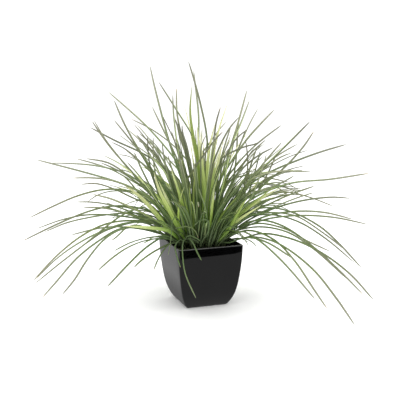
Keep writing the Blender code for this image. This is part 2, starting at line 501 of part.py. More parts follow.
# ------------------------------------------------------------------ leaves kept clear of one another
def closest(p1, q1, p2, q2):
    """Nearest points of pairs of straight pieces."""
    d1, d2, r = q1 - p1, q2 - p2, p1 - p2
    a = (d1 * d1).sum(1)
    e = (d2 * d2).sum(1)
    f = (d2 * r).sum(1)
    c = (d1 * r).sum(1)
    b = (d1 * d2).sum(1)
    den = a * e - b * b
    s = np.where(den > 1e-14, np.clip((b * f - c * e) / np.maximum(den, 1e-14), 0, 1), 0.5)
    t = np.clip((b * s + f) / np.maximum(e, 1e-14), 0, 1)
    s = np.clip((b * t - c) / np.maximum(a, 1e-14), 0, 1)
    t = np.clip((b * s + f) / np.maximum(e, 1e-14), 0, 1)
    return s, t, p1 + d1 * s[:, None], p2 + d2 * t[:, None]


def part_leaves(leaves, rounds=260):
    """Shift the rings of the leaves a few millimetres until no two leaves touch. A drawn leaf
    moves along its lines of sight, so it keeps its place on the sheet."""
    start = np.cumsum([0] + [len(l["nodes"]) for l in leaves])
    P = np.vstack([l["nodes"] for l in leaves])
    P0 = P.copy()
    N = len(P)
    fixed = np.zeros(N, bool)
    sight = np.zeros(N, bool)
    prev, nxt = np.arange(N), np.arange(N)
    a_, b_, leaf_, order_, rad_ = [], [], [], [], []
    for k, l in enumerate(leaves):
        o, n = start[k], len(l["nodes"])
        fixed[o] = True
        if l["drawn"]:
            sight[o + 2:o + n] = True
        for i in range(n - 1):
            a_.append(o + i)
            b_.append(o + i + 1)
            leaf_.append(k)
            order_.append(i)
            rad_.append(0.43 * l["w"] * (0.6 if i == n - 2 else 1.0) + 0.0004)
            nxt[o + i] = o + i + 1
            prev[o + i + 1] = o + i
    a_, b_, leaf_, order_, rad_ = map(np.array, (a_, b_, leaf_, order_, rad_))
    names = sorted(set(l["tuft"] for l in leaves))
    tuft_ = np.array([names.index(leaves[k]["tuft"]) for k in leaf_])
    rays = P - EYE
    rays /= np.linalg.norm(rays, axis=1)[:, None]
    ii, jj = np.triu_indices(len(a_), 1)
    keep = leaf_[ii] != leaf_[jj]
    ii, jj = ii[keep], jj[keep]
    cs, sn = math.cos(-TURN), math.sin(-TURN)
    for it in range(rounds):
        if it % 8 == 0:
            mid = (P[a_] + P[b_]) / 2
            half = np.linalg.norm(P[b_] - P[a_], axis=1) / 2
            dd = mid[ii] - mid[jj]
            near = (dd * dd).sum(1) < (half[ii] + half[jj] + rad_[ii] + rad_[jj] + 0.012) ** 2
            pi, pj = ii[near], jj[near]
        s, t, x, y = closest(P[a_[pi]], P[b_[pi]], P[a_[pj]], P[b_[pj]])
        v = y - x
        d = np.linalg.norm(v, axis=1)
        need = rad_[pi] + rad_[pj]
        same = tuft_[pi] == tuft_[pj]
        both = same & (order_[pi] == 0) & (order_[pj] == 0)
        need = np.where(same & ((order_[pi] == 0) | (order_[pj] == 0)), need * 0.85, need)
        need = np.where(both, need * np.clip(1.6 * np.minimum(s, t), 0.0, 1.0), need)
        bad = d < need
        if it > 10 and not bad.any():
            break
        k1, k2, s, t, v, d, need = pi[bad], pj[bad], s[bad], t[bad], v[bad], d[bad], need[bad]
        cross = np.cross(P[b_[k1]] - P[a_[k1]], P[b_[k2]] - P[a_[k2]])
        cross /= np.maximum(np.linalg.norm(cross, axis=1), 1e-12)[:, None]
        tiny = d < 2e-5
        n = np.where(tiny[:, None], cross, v / np.maximum(d, 2e-5)[:, None])
        amount = (need - d) * 0.5 + 0.00003
        move = np.zeros((N, 3))
        count = np.zeros(N)
        for kk, w, sign in ((k1, s, -1.0), (k2, t, 1.0)):
            for idx, wt in ((a_[kk], 1 - w), (b_[kk], w)):
                wn = wt / np.maximum((1 - w) ** 2 + w ** 2, 0.5)
                step = n * (sign * amount * wn)[:, None]
                ray = rays[idx]
                along = (n * ray).sum(1) * sign
                way = np.where(np.abs(along) > 0.06, np.sign(along), sign)
                by_ray = ray * (way * amount * wn / np.maximum(np.abs(along), 0.4))[:, None]
                step = np.where(sight[idx][:, None], by_ray + 0.12 * step, step)
                free = ~fixed[idx]
                np.add.at(move, idx[free], step[free])
                np.add.at(count, idx[free], wt[free])
        P = P + move / np.maximum(count, 1.0)[:, None]
        # a ring shares its shift with its neighbours at first, so the leaf stays smooth
        ease = 0.03 if it < 60 else 0.0
        D = P - P0
        D = D + ease * np.where(fixed[:, None], 0.0, D[prev] + D[nxt] - 2 * D)
        P = P0 + D
        # over the rim, and off the ground
        for f in np.linspace(0.0, 1.0, 9):
            q = P[a_] * (1 - f) + P[b_] * f
            m = np.maximum(np.abs(cs * q[:, 0] - sn * q[:, 1]), np.abs(sn * q[:, 0] + cs * q[:, 1]))
            low_z = HEIGHT + 0.0012 + rad_
            low = (m > 0.0545) & (m < 0.0645) & (q[:, 2] < low_z) & (q[:, 2] > HEIGHT - 0.030)
            if low.any():
                dz = np.minimum(low_z - q[:, 2], 0.004)[low]
                ka, kb = a_[low], b_[low]
                np.maximum.at(P[:, 2], kb, P[kb, 2] + dz * max(f, 0.35) * 0.6)
                ok = ~fixed[ka]
                np.maximum.at(P[:, 2], ka[ok], P[ka[ok], 2] + dz[ok] * (1 - f) * 0.6)
        P[:, 2] = np.maximum(P[:, 2], 0.008)
    for k, l in enumerate(leaves):
        l["nodes"] = P[start[k]:start[k + 1]].copy()


def turned(p):
    """From the viewer's axes to the pot's axes."""
    c, s = math.cos(-TURN), math.sin(-TURN)
    q = np.asarray(p, float)
    return np.stack([c * q[..., 0] - s * q[..., 1], s * q[..., 0] + c * q[..., 1], q[..., 2]], -1)


def face_leaves(leaves):
    """The way each leaf's flat side looks. Drawn leaves look at the viewer, a little tilted."""
    rng = np.random.default_rng(SEED + 1)
    for l in leaves:
        nodes = turned(l["nodes"])
        m = len(nodes) // 2
        lean, tilt = rng.uniform(2.0, 6.0) * rng.choice((-1, 1)), rng.uniform(-1, 1)
        if l["drawn"]:
            face = turned(EYE - l["nodes"][m])
            along = nodes[min(m + 1, len(nodes) - 1)] - nodes[m - 1]
            along = along / np.linalg.norm(along)
            face = face - along * float(face @ along)
            face = rotate(face, along, tilt * math.radians(32.0 if l["kind"] == G else 12.0))
        else:
            out = nodes[-1] - nodes[0]
            face = np.array([-out[1], out[0], 0.0]) * lean + np.array([0, 0, 1.0])
        l["face"] = face / np.linalg.norm(face)


# ------------------------------------------------------------------ leaf sections
def width_at(kind, s):
    if kind != G:
        return float(np.interp(s, (0, 0.10, 0.35, 0.6, 0.82, 1.0), (0.55, 0.62, 1.0, 0.95, 0.62, 0.0)))
    return float(np.interp(s, (0, 0.12, 0.3, 0.65, 0.84, 1.0), (0.8, 0.88, 1.0, 0.95, 0.72, 0.0)))


def thickness(kind, w):
    """A slender leaf is keeled like a fold, a broad one is nearly flat."""
    return 0.56 * w if kind == G else 0.0015


def rotate(v, axis, angle):
    c, s = math.cos(angle), math.sin(angle)
    return v * c + np.cross(axis, v) * s + axis * float(axis @ v) * (1 - c)


def sections(nodes, side0, face):
    """Side and face directions at each ring. The side starts as side0 at the crown, is carried
    along the leaf without twist and then turned gradually until the face looks along face."""
    T = np.zeros_like(nodes)
    T[1:-1] = nodes[2:] - nodes[:-2]
    T[0] = (0, 0, 1)
    T[-1] = nodes[-1] - nodes[-2]
    T /= np.linalg.norm(T, axis=1)[:, None]
    side = side0 - T[0] * float(side0 @ T[0])
    side /= np.linalg.norm(side)
    out = [side]
    for i in range(1, len(nodes)):
        axis = np.cross(T[i - 1], T[i])
        n = np.linalg.norm(axis)
        if n > 1e-9:
            side = rotate(side, axis / n, math.atan2(n, float(T[i - 1] @ T[i])))
        side = side - T[i] * float(side @ T[i])
        side /= np.linalg.norm(side)
        out.append(side)
    s = arc(nodes)
    s = s / s[-1]
    m = len(nodes) // 2
    want = np.cross(T[m], face)
    roll = 0.0
    if np.linalg.norm(want) > 0.2:
        want /= np.linalg.norm(want)
        roll = math.atan2(float(np.cross(out[m], want) @ T[m]), float(out[m] @ want))
        if roll > math.pi / 2:
            roll -= math.pi
        if roll < -math.pi / 2:
            roll += math.pi
    res = []
    now = 0.0
    for i in range(len(nodes)):
        k = min(1.0, s[i] / 0.3)
        k = k * k * (3 - 2 * k)
        most = MOST_TWIST * (0.5 if i < 2 else 1.0)
        now += max(-most, min(most, roll * k - now))
        sd = rotate(out[i], T[i], now)
        res.append((sd, np.cross(T[i], sd)))
    return res, s


# ------------------------------------------------------------------ materials
def material(name, colour, roughness, metallic=0.0):
    m = bpy.data.materials.new(name)
    m.use_nodes = True
    b = m.node_tree.nodes["Principled BSDF"]
    b.inputs["Base Color"].default_value = (*colour, 1.0)
    b.inputs["Roughness"].default_value = roughness
    b.inputs["Metallic"].default_value = metallic
    m.diffuse_color = (*colour, 1.0)
    return m


def finish(bm, name, mat, soft):
    bmesh.ops.recalc_face_normals(bm, faces=bm.faces)
    me = bpy.data.meshes.new(name)
    bm.to_mesh(me)
    bm.free()
    me.materials.append(mat)
    for p in me.polygons:
        p.use_smooth = soft
    ob = bpy.data.objects.new(name, me)
    bpy.context.scene.collection.objects.link(ob)
    ob.parent = plant_root
    return ob


plant_root = bpy.data.objects.new("plant", None)
bpy.context.scene.collection.objects.link(plant_root)


# ------------------------------------------------------------------ pot and soil
def outline(half, radius, z):
    """A square with rounded corners, counter-clockwise from the middle of the right corner's start."""
    pts = []
    for k in range(4):
        a0 = k * math.pi / 2
        cx = (half - radius) * (1 if k in (0, 3) else -1)
        cy = (half - radius) * (1 if k in (0, 1) else -1)
        for j in range(CORNER_STEPS + 1):
            a = a0 + (math.pi / 2) * j / CORNER_STEPS
            pts.append((cx + radius * math.cos(a), cy + radius * math.sin(a), z))
    return pts


def extrude_to(bm, face, pts):
    """Extrude a cap and put its corners on the given outline."""
    new = bmesh.ops.extrude_discrete_faces(bm, faces=[face])["faces"][0]
    for v, p in zip([l.vert for l in new.loops], pts):
        v.co = p
    return new


def half_at(z):
    return RIM / 2 * float(np.interp(z / HEIGHT, [p[0] for p in PROFILE], [p[1] for p in PROFILE]))


def corner_at(z):
    return CORNER * (0.62 + 0.38 * z / HEIGHT)


def build_pot():
    bm = bmesh.new()
    low = [bm.verts.new(p) for p in outline(RIM / 2 * PROFILE[0][1], corner_at(0), 0.0)]
    cap = bm.faces.new(low)
    for share, _ in PROFILE[1:]:
        z = share * HEIGHT
        cap = extrude_to(bm, cap, outline(half_at(z), corner_at(z), z))
    # chamfered rim, then down the inside
    rim = RIM / 2
    cap = extrude_to(bm, cap, outline(rim - LIP, CORNER - LIP, HEIGHT))
    cap = extrude_to(bm, cap, outline(rim - WALL + LIP, INNER_CORNER + LIP, HEIGHT))
    cap = extrude_to(bm, cap, outline(rim - WALL, INNER_CORNER, HEIGHT - LIP))
    for z in INSIDE:
        cap = extrude_to(bm, cap, outline(half_at(z) - WALL, INNER_CORNER, z))
    bm.faces.new([v for v in low])
    return finish(bm, "pot", material("gloss_black", (0.008, 0.008, 0.009), 0.08), True)


def build_soil():
    bm = bmesh.new()
    levels = [z for z in reversed(INSIDE) if z < SOIL_TOP]
    levels[0] += GAP
    levels.append(SOIL_TOP)
    low = [bm.verts.new(p) for p in
           outline(half_at(levels[0]) - WALL - GAP, INNER_CORNER, levels[0])]
    cap = bm.faces.new(low)
    for z in levels[1:]:
        cap = extrude_to(bm, cap, outline(half_at(z) - WALL - GAP, INNER_CORNER, z))
    bm.faces.new([v for v in low])
    return finish(bm, "soil", material("dark_soil", (0.022, 0.016, 0.010), 0.95), False)


INSIDE = [HEIGHT * s for s in (0.81, 0.67, 0.50, 0.34, 0.175)] + [FLOOR]
INSIDE = [z for z in INSIDE]


# ------------------------------------------------------------------ tufts
def build_tuft(tuft, leaves, mat):
    """A crown whose top is cut into sectors. Each leaf grows from its own sector and a narrow
    web of crown stays between neighbours."""
    bm = bmesh.new()
    c = tuft["top"]
    ring_low, ring_top, sectors = [], [], []
    for l in leaves:
        a0, a1 = l["sector"]
        inset = 0.12 * (a1 - a0)
        for a in (a0 + inset, a1 - inset):
            r = math.radians(a)
            d = np.array([math.cos(r), math.sin(r), 0.0])
            low = c + d * CROWN_RADIUS * 0.92
            low[2] = SOIL_TOP + GAP
            ring_low.append(bm.verts.new(turned(low)))
            ring_top.append(bm.verts.new(turned(c + d * CROWN_RADIUS)))
    peak = bm.verts.new(turned(c + np.array([0, 0, 0.0008])))
    n = len(ring_top)
    bm.faces.new(list(reversed(ring_low)))
    for k in range(n):
        m = (k + 1) % n
        bm.faces.new((ring_low[k], ring_low[m], ring_top[m], ring_top[k]))
        f = bm.faces.new((peak, ring_top[k], ring_top[m]))
        if k % 2 == 0:
            sectors.append((f, ring_top[k].co.copy(), ring_top[m].co.copy()))
    for l, (f, ea, eb) in zip(leaves, sectors):
        nodes = turned(l["nodes"])
        side0 = np.array(eb - ea)
        side0 /= np.linalg.norm(side0)
        frames, s = sections(nodes, side0, l["face"])
        # corners of the sector face: the peak is the keel, the other two are the leaf's edges
        role = []
        for lp in f.loops:
            co = lp.vert.co
            if lp.vert == peak:
                role.append(0)
            else:
                role.append(1 if (co - ea).length < (co - eb).length else 2)
        # the keel points from the leaf's back towards the middle of the crown
        inward = 1.0 if float(np.cross(np.array([0, 0, 1.0]), side0)
                              @ (np.array(peak.co) - np.array((ea + eb) / 2))) > 0 else -1.0
        cap = f
        w, kind = l["w"], l["kind"]
        t = thickness(kind, w)
        for i in range(1, len(nodes) - 1):
            sd, fc = frames[i]
            k = width_at(kind, s[i])
            half, th = 0.5 * w * k, t * (0.45 + 0.55 * k)
            place = {0: nodes[i] + fc * inward * th * 0.6,
                     1: nodes[i] - sd * half - fc * inward * th * 0.4,
                     2: nodes[i] + sd * half - fc * inward * th * 0.4}
            cap = extrude_to(bm, cap, [place[q] for q in role])
        tip_face = bmesh.ops.extrude_discrete_faces(bm, faces=[cap])["faces"][0]
        bmesh.ops.pointmerge(bm, verts=list(tip_face.verts), merge_co=nodes[-1])
    return finish(bm, tuft["name"], mat, True)


def build_plant():
    tufts, leaves = plant()
    part_leaves(leaves)
    face_leaves(leaves)
    green = material("leaf_green", (0.100, 0.150, 0.058), 0.42)
    for t in tufts:
        build_tuft(t, [l for l in leaves if l["tuft"] == t["name"]], green)
    return tufts, leaves


build_pot()
build_soil()
build_plant()
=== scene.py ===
"""The looks of the potted ornamental grass clump: fine leaves, crowns, soil and gloss pot
around the fixed frame, with a plain pale floor, soft light and a camera."""
import math

import bmesh
import bpy
import numpy as np
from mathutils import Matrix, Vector
from mathutils.kdtree import KDTree


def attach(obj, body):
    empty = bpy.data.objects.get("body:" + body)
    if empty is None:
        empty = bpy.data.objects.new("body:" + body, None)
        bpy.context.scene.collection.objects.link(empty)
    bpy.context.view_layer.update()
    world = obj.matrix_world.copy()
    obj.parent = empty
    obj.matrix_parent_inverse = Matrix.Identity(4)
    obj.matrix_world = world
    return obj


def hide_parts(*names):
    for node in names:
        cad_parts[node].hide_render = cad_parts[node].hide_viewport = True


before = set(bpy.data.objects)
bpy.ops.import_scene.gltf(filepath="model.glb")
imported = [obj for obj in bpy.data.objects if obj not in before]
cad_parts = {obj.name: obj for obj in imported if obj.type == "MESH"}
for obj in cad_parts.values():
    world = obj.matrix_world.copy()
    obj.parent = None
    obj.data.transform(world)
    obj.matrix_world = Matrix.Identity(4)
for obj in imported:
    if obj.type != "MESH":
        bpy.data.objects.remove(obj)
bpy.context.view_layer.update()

# ------------------------------------------------------------------ driving dimensions
RIM = 0.1236                # width of the pot over its rim
HEIGHT = 0.1154             # height of the pot
WALL = 0.003                # wall of the pot
FLOOR = 0.004               # thickness of the pot's bottom
CORNER = 0.0044             # radius of the pot's upright corners at the rim
CORNER_STEPS = 4            # flats round each corner
INNER_CORNER = 0.0015       # radius of the corners inside the pot
LIP = 0.0008                # small chamfer on both edges of the rim
GAP = 0.0003                # clearance between pieces that touch
SOIL_TOP = 0.0934           # the soil ends 22 mm below the rim

CROWN_TOP = 0.1073          # top of every tuft's crown, 8 mm below the rim
CROWN_RADIUS = 0.0058
RINGS = (("centre", 1, 0.0), ("inner", 6, 0.0147), ("middle", 12, 0.0293), ("outer", 18, 0.0438))
MOST_LEAVES = 8             # leaves that one crown can carry in the first sharing out
LEAVES = {"centre": 7, "inner": 7, "middle": 7, "outer": 6}
SEED = 7
MOST_TWIST = math.radians(38.0)     # a leaf's most twist from one ring to the next
FIRST_RING = {"o": 0.026, "m": 0.034, "i": 0.034, "c": 0.034}   # height of a leaf's first ring

# side profile of the pot: share of the height, half width as a share of the rim's half width
PROFILE = ((0.0, 0.632), (0.010, 0.646), (0.066, 0.708), (0.175, 0.800), (0.34, 0.880),
           (0.50, 0.926), (0.67, 0.964), (0.81, 0.985), (0.993, 1.0))

# The leaves that show from the front are laid out on a squared sheet, 400 squares each way.
# The sheet is looked through from EYE, PITCH below level, with the pot turned by TURN, and
# ZOOM is the eye's distance to the sheet in squares.
EYE = np.array([-0.0002, -1.479, 0.4606])
PITCH = math.radians(10.32)
TURN = math.radians(19.715)
ZOOM = 819.0
AHEAD = np.array([0.0, math.cos(PITCH), -math.sin(PITCH)])
UPWARD = np.array([0.0, math.sin(PITCH), math.cos(PITCH)])

# Each row: ring (o outer, m middle, i inner), kind, width in mm, depth of the tip in mm
# (+ away from the viewer), then points across and down on the sheet from low to the tip.
G, V, O = "green", "lime", "olive"        # slender leaves, and two tints of broad ones
FRONT_LEAVES = [
    # long low leaves on the left
    ("o", G, 3.4,   20, (150,197, 130,186.5, 112,180, 88,173.2, 64,166.8, 36,159.6)),
    ("o", G, 3.4,   80, (145,186, 126,173.5, 110,168.5, 90,164.8, 70,163.4, 50.5,162.9)),
    ("o", G, 3.2,  140, (150,192, 128,178.5, 112,169.8, 95,163.7, 76,158.6)),
    ("m", G, 3.4, -110, (145,188, 135,181, 121,170, 107,162.3, 86,158.5)),
    ("o", G, 3.2, -130, (148,197, 130,187, 112,180.5, 93,177.8, 72,178)),
    ("o", G, 3.2,  150, (150,206, 130,196.5, 114,189, 97,183.7, 80.5,184.3)),
    ("o", G, 3.5,  -30, (150,198, 127,190.3, 103,189.6, 77,196, 52,206.8, 29,218)),
    ("m", G, 3.4, -160, (150,217, 128,206, 110,198.5, 92.5,194.3)),
    ("o", G, 3.2,  120, (150,219, 125,209.5, 106,204, 90,202, 76,202)),
    ("o", G, 3.2,  -60, (150,221, 130,214.5, 110,209, 95,207.4, 82.5,207.3)),
    ("o", G, 3.2,  190, (150,218, 130,211.5, 113,205.3, 106,202.5)),
    ("o", G, 3.4,   55, (155,222, 130,217.3, 105,214.5, 83,215.2, 60,220.2, 36,229)),
    ("o", G, 3.5,  -40, (152,212, 127,206, 108,206.7, 88,211.6, 58,223.8, 23,240.8)),
    ("o", G, 3.2,   90, (155,217, 135,213, 113,214, 90,217.3, 66,223, 44,232.3)),
    ("o", G, 3.2,   60, (162,235, 145,230, 118,226.7, 99,228.3, 71,235)),
    ("o", G, 3.0,  -90, (150,229, 135,225, 126,228, 117,236.5, 111,241)),
    ("o", G, 3.5,  -20, (150,222, 130,220.5, 107,223.6, 83,235, 57,255.5, 33,281)),
    ("o", G, 3.4,   30, (155,224, 130,222.5, 107,229, 77,244, 55,260, 36,279)),
    ("o", G, 3.5,  -90, (145,207, 125,213.5, 108,225, 88,241.5, 57,265.5, 35,283.7)),
    ("o", G, 3.2,  130, (140,222, 125,224.5, 104,231.5, 88,242, 71,254)),
    ("o", G, 3.6,  -70, (150,229, 121,228.5, 97,242, 76,259, 57,281, 42,298)),
    ("o", G, 3.6, -110, (155,231, 126,228, 106,238, 87,260, 75,279, 62,295)),
    ("o", G, 3.5, -120, (157,238.6, 142,241.5, 126,248.5, 111,259, 97.5,271)),
    ("o", G, 3.3,   30, (162,236.5, 150,237.2, 131,242.3, 114,250.8)),
    ("o", G, 3.5, -140, (163,236.5, 147,246.5, 130,262.5, 107.5,286.5)),
    ("o", G, 3.3, -110, (172,243, 155,251, 140,261.5, 134,267.5)),
    ("o", G, 3.2, -130, (170,243.5, 163,251, 156,264, 154,270)),
    # small leaves that hang over the front of the rim
    ("o", G, 2.8, -130, (176,216, 172.5,220, 171.5,232, 170,246, 168,255.5)),
    ("o", G, 2.6, -105, (180,239.5, 175,246, 176.5,255, 180.5,267.5)),
    ("o", G, 2.7, -150, (186,240, 183,246, 182.5,258, 185,275, 196,299)),
    ("o", G, 3.0, -112, (188,237, 192.5,242, 197,252, 201.5,260.5)),
    ("o", G, 2.8,  -72, (185.5,239, 188.5,235.5, 194,236.8, 200.5,240.8)),
    ("o", G, 2.6,  -90, (174,229, 181,227.3, 187,226.5, 194,229, 198.5,238)),
    ("o", G, 2.8, -115, (208,232, 208.5,221, 202,219.5, 193.5,226)),
    ("o", G, 2.8, -135, (209,236, 207.3,223, 205.8,210, 202.6,199.5, 198.3,187.5)),
    # lime leaves on the left
    ("m", V, 4.2,  -70, (182,236, 178.8,222, 179,206, 181,196, 184,187)),
    ("m", V, 9.8,  -80, (183,218, 181.3,198, 178,187, 173.8,175.5, 170,163)),
    ("o", V, 8.0, -105, (183,237, 175.5,223, 167.3,206, 160.8,194, 156.8,183.5, 153.8,172)),
    ("o", V, 8.0,  -85, (168,230, 158.5,216.5, 151.8,209, 144.5,201, 137,194, 129,188, 121,183)),
    ("o", V, 7.0,  -95, (182,237, 172,231.5, 158,228.5, 140,227, 124,226)),
    ("m", V, 7.0,  -35, (173,214, 167,199, 161,187, 155,175)),
    ("m", O, 3.8,  -95, (190,230, 188,213, 185.5,203, 183.5,193)),
    # broad upright leaves in the middle
    ("i", O, 7.0,  -20, (199,190, 198,160, 194,140, 190.3,112, 192,85)),
    ("i", V, 9.5, -100, (204,236, 204.5,205, 203.5,183, 201,163, 199,146, 197,126)),
    ("i", V, 4.6,  -60, (205,205, 204,180, 202.5,160, 201,143, 200.8,127)),
    ("m", V, 5.4, -100, (208.5,236, 211,218.6, 212.3,205.5, 213.6,195, 214.3,186.5)),
    ("i", V, 5.6,  -45, (213.5,172, 213.3,160, 214.2,150, 216,139.5, 218.6,131, 220.6,123.5, 224,113.5, 228,102)),
    ("i", V, 7.0,  -50, (208,200, 207,174, 208,156, 211,139, 215.5,122)),
    ("m", O, 4.5,  -95, (193,240, 191,213, 189.7,195, 190,184)),
    ("m", O, 3.8,  -80, (195,232, 194,212, 193.6,192, 195,172)),
    ("i", V, 3.8,   40, (200,180, 192.5,141, 188.5,121, 183.5,102)),
    ("i", G, 3.4,  -80, (208,190, 210,165, 214,138, 216.5,121, 220.5,107)),
    ("m", G, 3.2, -140, (187,180, 193,171, 198.6,162, 205.5,152.7, 212,143.5, 218,136.5, 223,131.5)),
    ("m", G, 3.2,  130, (195,165, 210,142, 221,127.5, 226.5,121.5)),
    # rising leaves on the left
    ("m", G, 3.5,  -20, (155,199, 134,174, 113,150.5, 101,134.5, 92,121)),
    ("m", G, 3.2,   60, (152,196, 127,167, 106,140.5, 94,120.5)),
    ("m", G, 3.4,   80, (163,166.5, 140,152, 116,141, 90,127.3)),
    ("i", G, 3.4,   35, (185,175, 171,154, 147,126.5, 127,108, 108.5,92)),
    ("m", G, 3.4,  -50, (170,198, 149,165, 133,140, 123,121, 114,100)),
    ("m", G, 3.2,   95, (158,192, 148,166, 137,148.5, 126,134.5, 114,120)),
    ("m", G, 3.2,  150, (190,165, 174,146, 152,129.5, 131.5,119)),
    ("m", G, 3.0,  140, (158,180, 145,166, 126,149.5, 111.5,142)),
    ("m", G, 3.4,  110, (170,178, 154,155, 142,142, 128.5,130)),
    ("m", G, 3.2,  -90, (172,180, 154,153, 136,134.5)),
    ("m", G, 3.2,  160, (190,184, 174,165, 153,145, 139,133)),
    ("m", G, 3.0, -130, (165,172, 149,155, 137,146)),
    ("m", G, 3.2,  -75, (158,190, 150,166, 148,150, 147.5,135.5)),
    ("m", G, 3.2, -105, (165,200, 155,172, 153.3,153, 153.3,137)),
    ("m", G, 3.0, -125, (172,190, 164,157, 162,143)),
    ("i", G, 3.2,  -60, (186,180, 174,152, 161,125, 152,106.5)),
    ("i", G, 3.8,  -10, (183,185, 169,141, 161,112, 153.5,82, 150,65.5)),
    ("i", G, 3.2,   60, (190,185, 177,147, 165,121, 161,113)),
    ("i", G, 3.5,   45, (203,165, 193,137, 176,109, 158.5,81.5)),
    ("i", G, 3.4,  -50, (182,180, 176.5,140, 173.3,112, 172.7,94.5)),
    ("i", G, 3.5,   70, (192,185, 183,143, 177,113, 176.5,88)),
    ("i", G, 3.2, -100, (192,175, 187,147, 182.5,132, 182,124.5)),
    ("i", G, 3.5,    0, (208,190, 207,138, 200.5,104, 193,76, 188.3,61)),
    ("i", G, 3.5,   50, (200,190, 198.3,142, 198.3,115, 194.5,80, 193.5,70)),
    ("i", G, 3.0, -110, (201,175, 201.5,146, 206,135)),
    ("m", G, 3.0, -120, (160,205, 147,186, 136,172, 127,162)),
    ("m", G, 3.6,  -60, (165,215, 152,190, 141,168, 134,152)),
    ("m", G, 3.0,   60, (162,184, 150,171.5, 141,162.5, 133,155.5, 125.5,150)),
    ("i", G, 3.0,   30, (192,172, 185,152, 180,137, 177.5,126, 173.5,117)),
    ("m", G, 2.8,  -60, (182,170, 180,156, 178.8,148, 178.2,141)),
    ("m", G, 2.8, -100, (176,178, 171,166, 168,155)),
    ("m", G, 3.2,  -92, (185,208, 182,190, 178.5,179.5, 170,171.5, 160,163, 150,156)),
    ("i", O, 3.4,  -60, (187,190, 184.8,178, 183,168, 181,156)),
    # rising leaves on the right
    ("i", G, 3.3,  -70, (210,206, 213.5,188, 217,178, 220.5,169.5, 225,162, 231,154)),
    ("m", G, 3.3,  -95, (217,221, 222.5,208, 229,197.5, 236,188.5, 243,182)),
    ("m", G, 3.0,  -60, (222,158, 230,153, 238,149.3, 247,146, 257,143.5, 264,139)),
    ("m", G, 3.0,   40, (226,184, 243,163.5, 251,153, 258,146.5, 266,139.5)),
    ("m", G, 3.0,  -60, (252,182, 264,169, 275,160.5, 284,155.5, 291.5,153)),
    ("i", G, 3.5,   10, (222,175, 230.5,147, 237.5,125, 247,90)),
    ("i", G, 3.2,  -60, (225,175, 231,147, 240.5,124, 249.5,100)),
    ("m", G, 3.3,   60, (222,190, 231.5,166, 241,143, 250.5,122, 258,108.5)),
    ("i", G, 3.6,  -30, (215,190, 228.5,166, 246,140.5, 260,124.5, 274.5,109.5)),
    ("m", G, 3.5,   75, (222,186, 240,161, 258,143, 281.5,125)),
    ("m", G, 3.0, -110, (222,165, 231,146, 238,137, 247,129.5)),
    ("i", G, 3.2,  -80, (207,185, 217,153, 229,129, 239,117)),
    ("i", G, 3.2,   80, (216,180, 224,148, 231,126)),
    ("i", G, 3.4,  110, (231,190, 236,160, 237.5,135, 239,117)),
    ("m", G, 3.3,  -90, (246,186, 259,169, 270.5,155, 282,142)),
    ("m", G, 3.6,  -30, (240,192, 264,167, 288,143.5, 310,121.5)),
    ("m", G, 3.3,  110, (243,182, 263,166.5, 280,154, 297.5,144)),
    ("m", G, 3.4,  -60, (245,205, 264,184.5, 285,167, 303.5,146.5, 314,131)),
    ("m", G, 3.3, -130, (226,186, 245,166, 259,155, 273.5,147.3)),
    ("m", G, 3.2, -100, (243,200, 250,168, 257.5,146)),
    ("m", G, 3.2,   60, (246,200, 256,168, 260.5,150)),
    ("m", G, 3.0, -150, (250,200, 262,170, 266.5,154)),
    ("m", G, 3.2, -130, (240,200, 247.5,170, 247,150, 245.5,140)),
    ("m", G, 3.2,  100, (255,195, 268.5,172, 276,155)),
    ("o", G, 3.2,   40, (162,224, 147,215, 134,209.5, 125,207, 116,206.5)),
    ("o", G, 3.0,   40, (155,212, 142,197, 134,187, 127.5,179.5, 121,174)),
    # long low leaves on the right
    ("o", G, 3.6,   20, (240,192, 266,174, 297,160.5, 322,151.5, 346.5,144.3)),
    ("m", G, 3.2,  130, (243,183, 266,168.5, 291,156, 308.5,149.8)),
    ("m", G, 3.4,  150, (243,180, 260,173.5, 278,171.3, 311,171.8)),
    ("m", G, 3.2, -140, (250,180, 268,173, 293.5,170)),
    ("o", G, 3.6,  -10, (245,204, 264,192.5, 292,183, 330,179.3, 369,173.3)),
    ("o", G, 3.3, -120, (240,203, 258,193, 281,183, 294.5,175.5)),
    ("o", G, 3.6,  -60, (240,218, 264,206.5, 288,195.5, 314.5,186)),
    ("o", G, 3.3,   90, (245,219, 271,208, 295,198.5, 313.5,192.5)),
    ("o", G, 3.5,   40, (245,222, 270,210, 299,201.3, 331,197.2, 350.5,198.3)),
    ("o", G, 3.4,  110, (248,206, 268,196, 286,192, 309,197, 334,206.5)),
    ("o", G, 3.2,  150, (245,206, 272,193.5, 298.5,189)),
    ("m", G, 3.2,  170, (240,190, 258,182.5, 279,185.3, 295,187.2)),
    ("m", G, 3.2,  190, (230,181, 247,175, 264,177, 290,182.5)),
    ("o", G, 3.4,  -50, (245,225, 270,215, 298,211.2, 325,212.5, 353,219.3)),
    ("o", G, 3.4,   20, (243,228, 265,219.5, 297,215.5, 333,217.3, 367.5,224.3)),
    ("o", G, 3.5,  -80, (245,212, 268,207.5, 292,212, 320,226.5, 338,242.5, 362,268.5)),
    ("o", G, 3.4,   40, (243,218, 271,214.5, 298,221.5, 325,238, 355,263)),
    ("o", G, 3.4, -110, (248,216, 270,212.5, 296,216, 322,232, 348,252)),
    ("o", G, 3.6,  -70, (240,239, 262,233.5, 292,239, 322,253, 350,274, 374,300.5)),
    ("o", G, 3.5, -105, (235,228, 258,220, 282,225.5, 315,248, 340,271, 363.5,295)),
    ("o", G, 3.3,   10, (232,232, 258,226.8, 287,232, 313,248.5, 347,279)),
    ("o", G, 3.3,  100, (243,229, 260,224.5, 288,230.5, 304,239.5, 330,251.5)),
    ("o", G, 3.6, -130, (228,238, 248,230.3, 273,239, 294,260, 315,291, 327,308.5)),
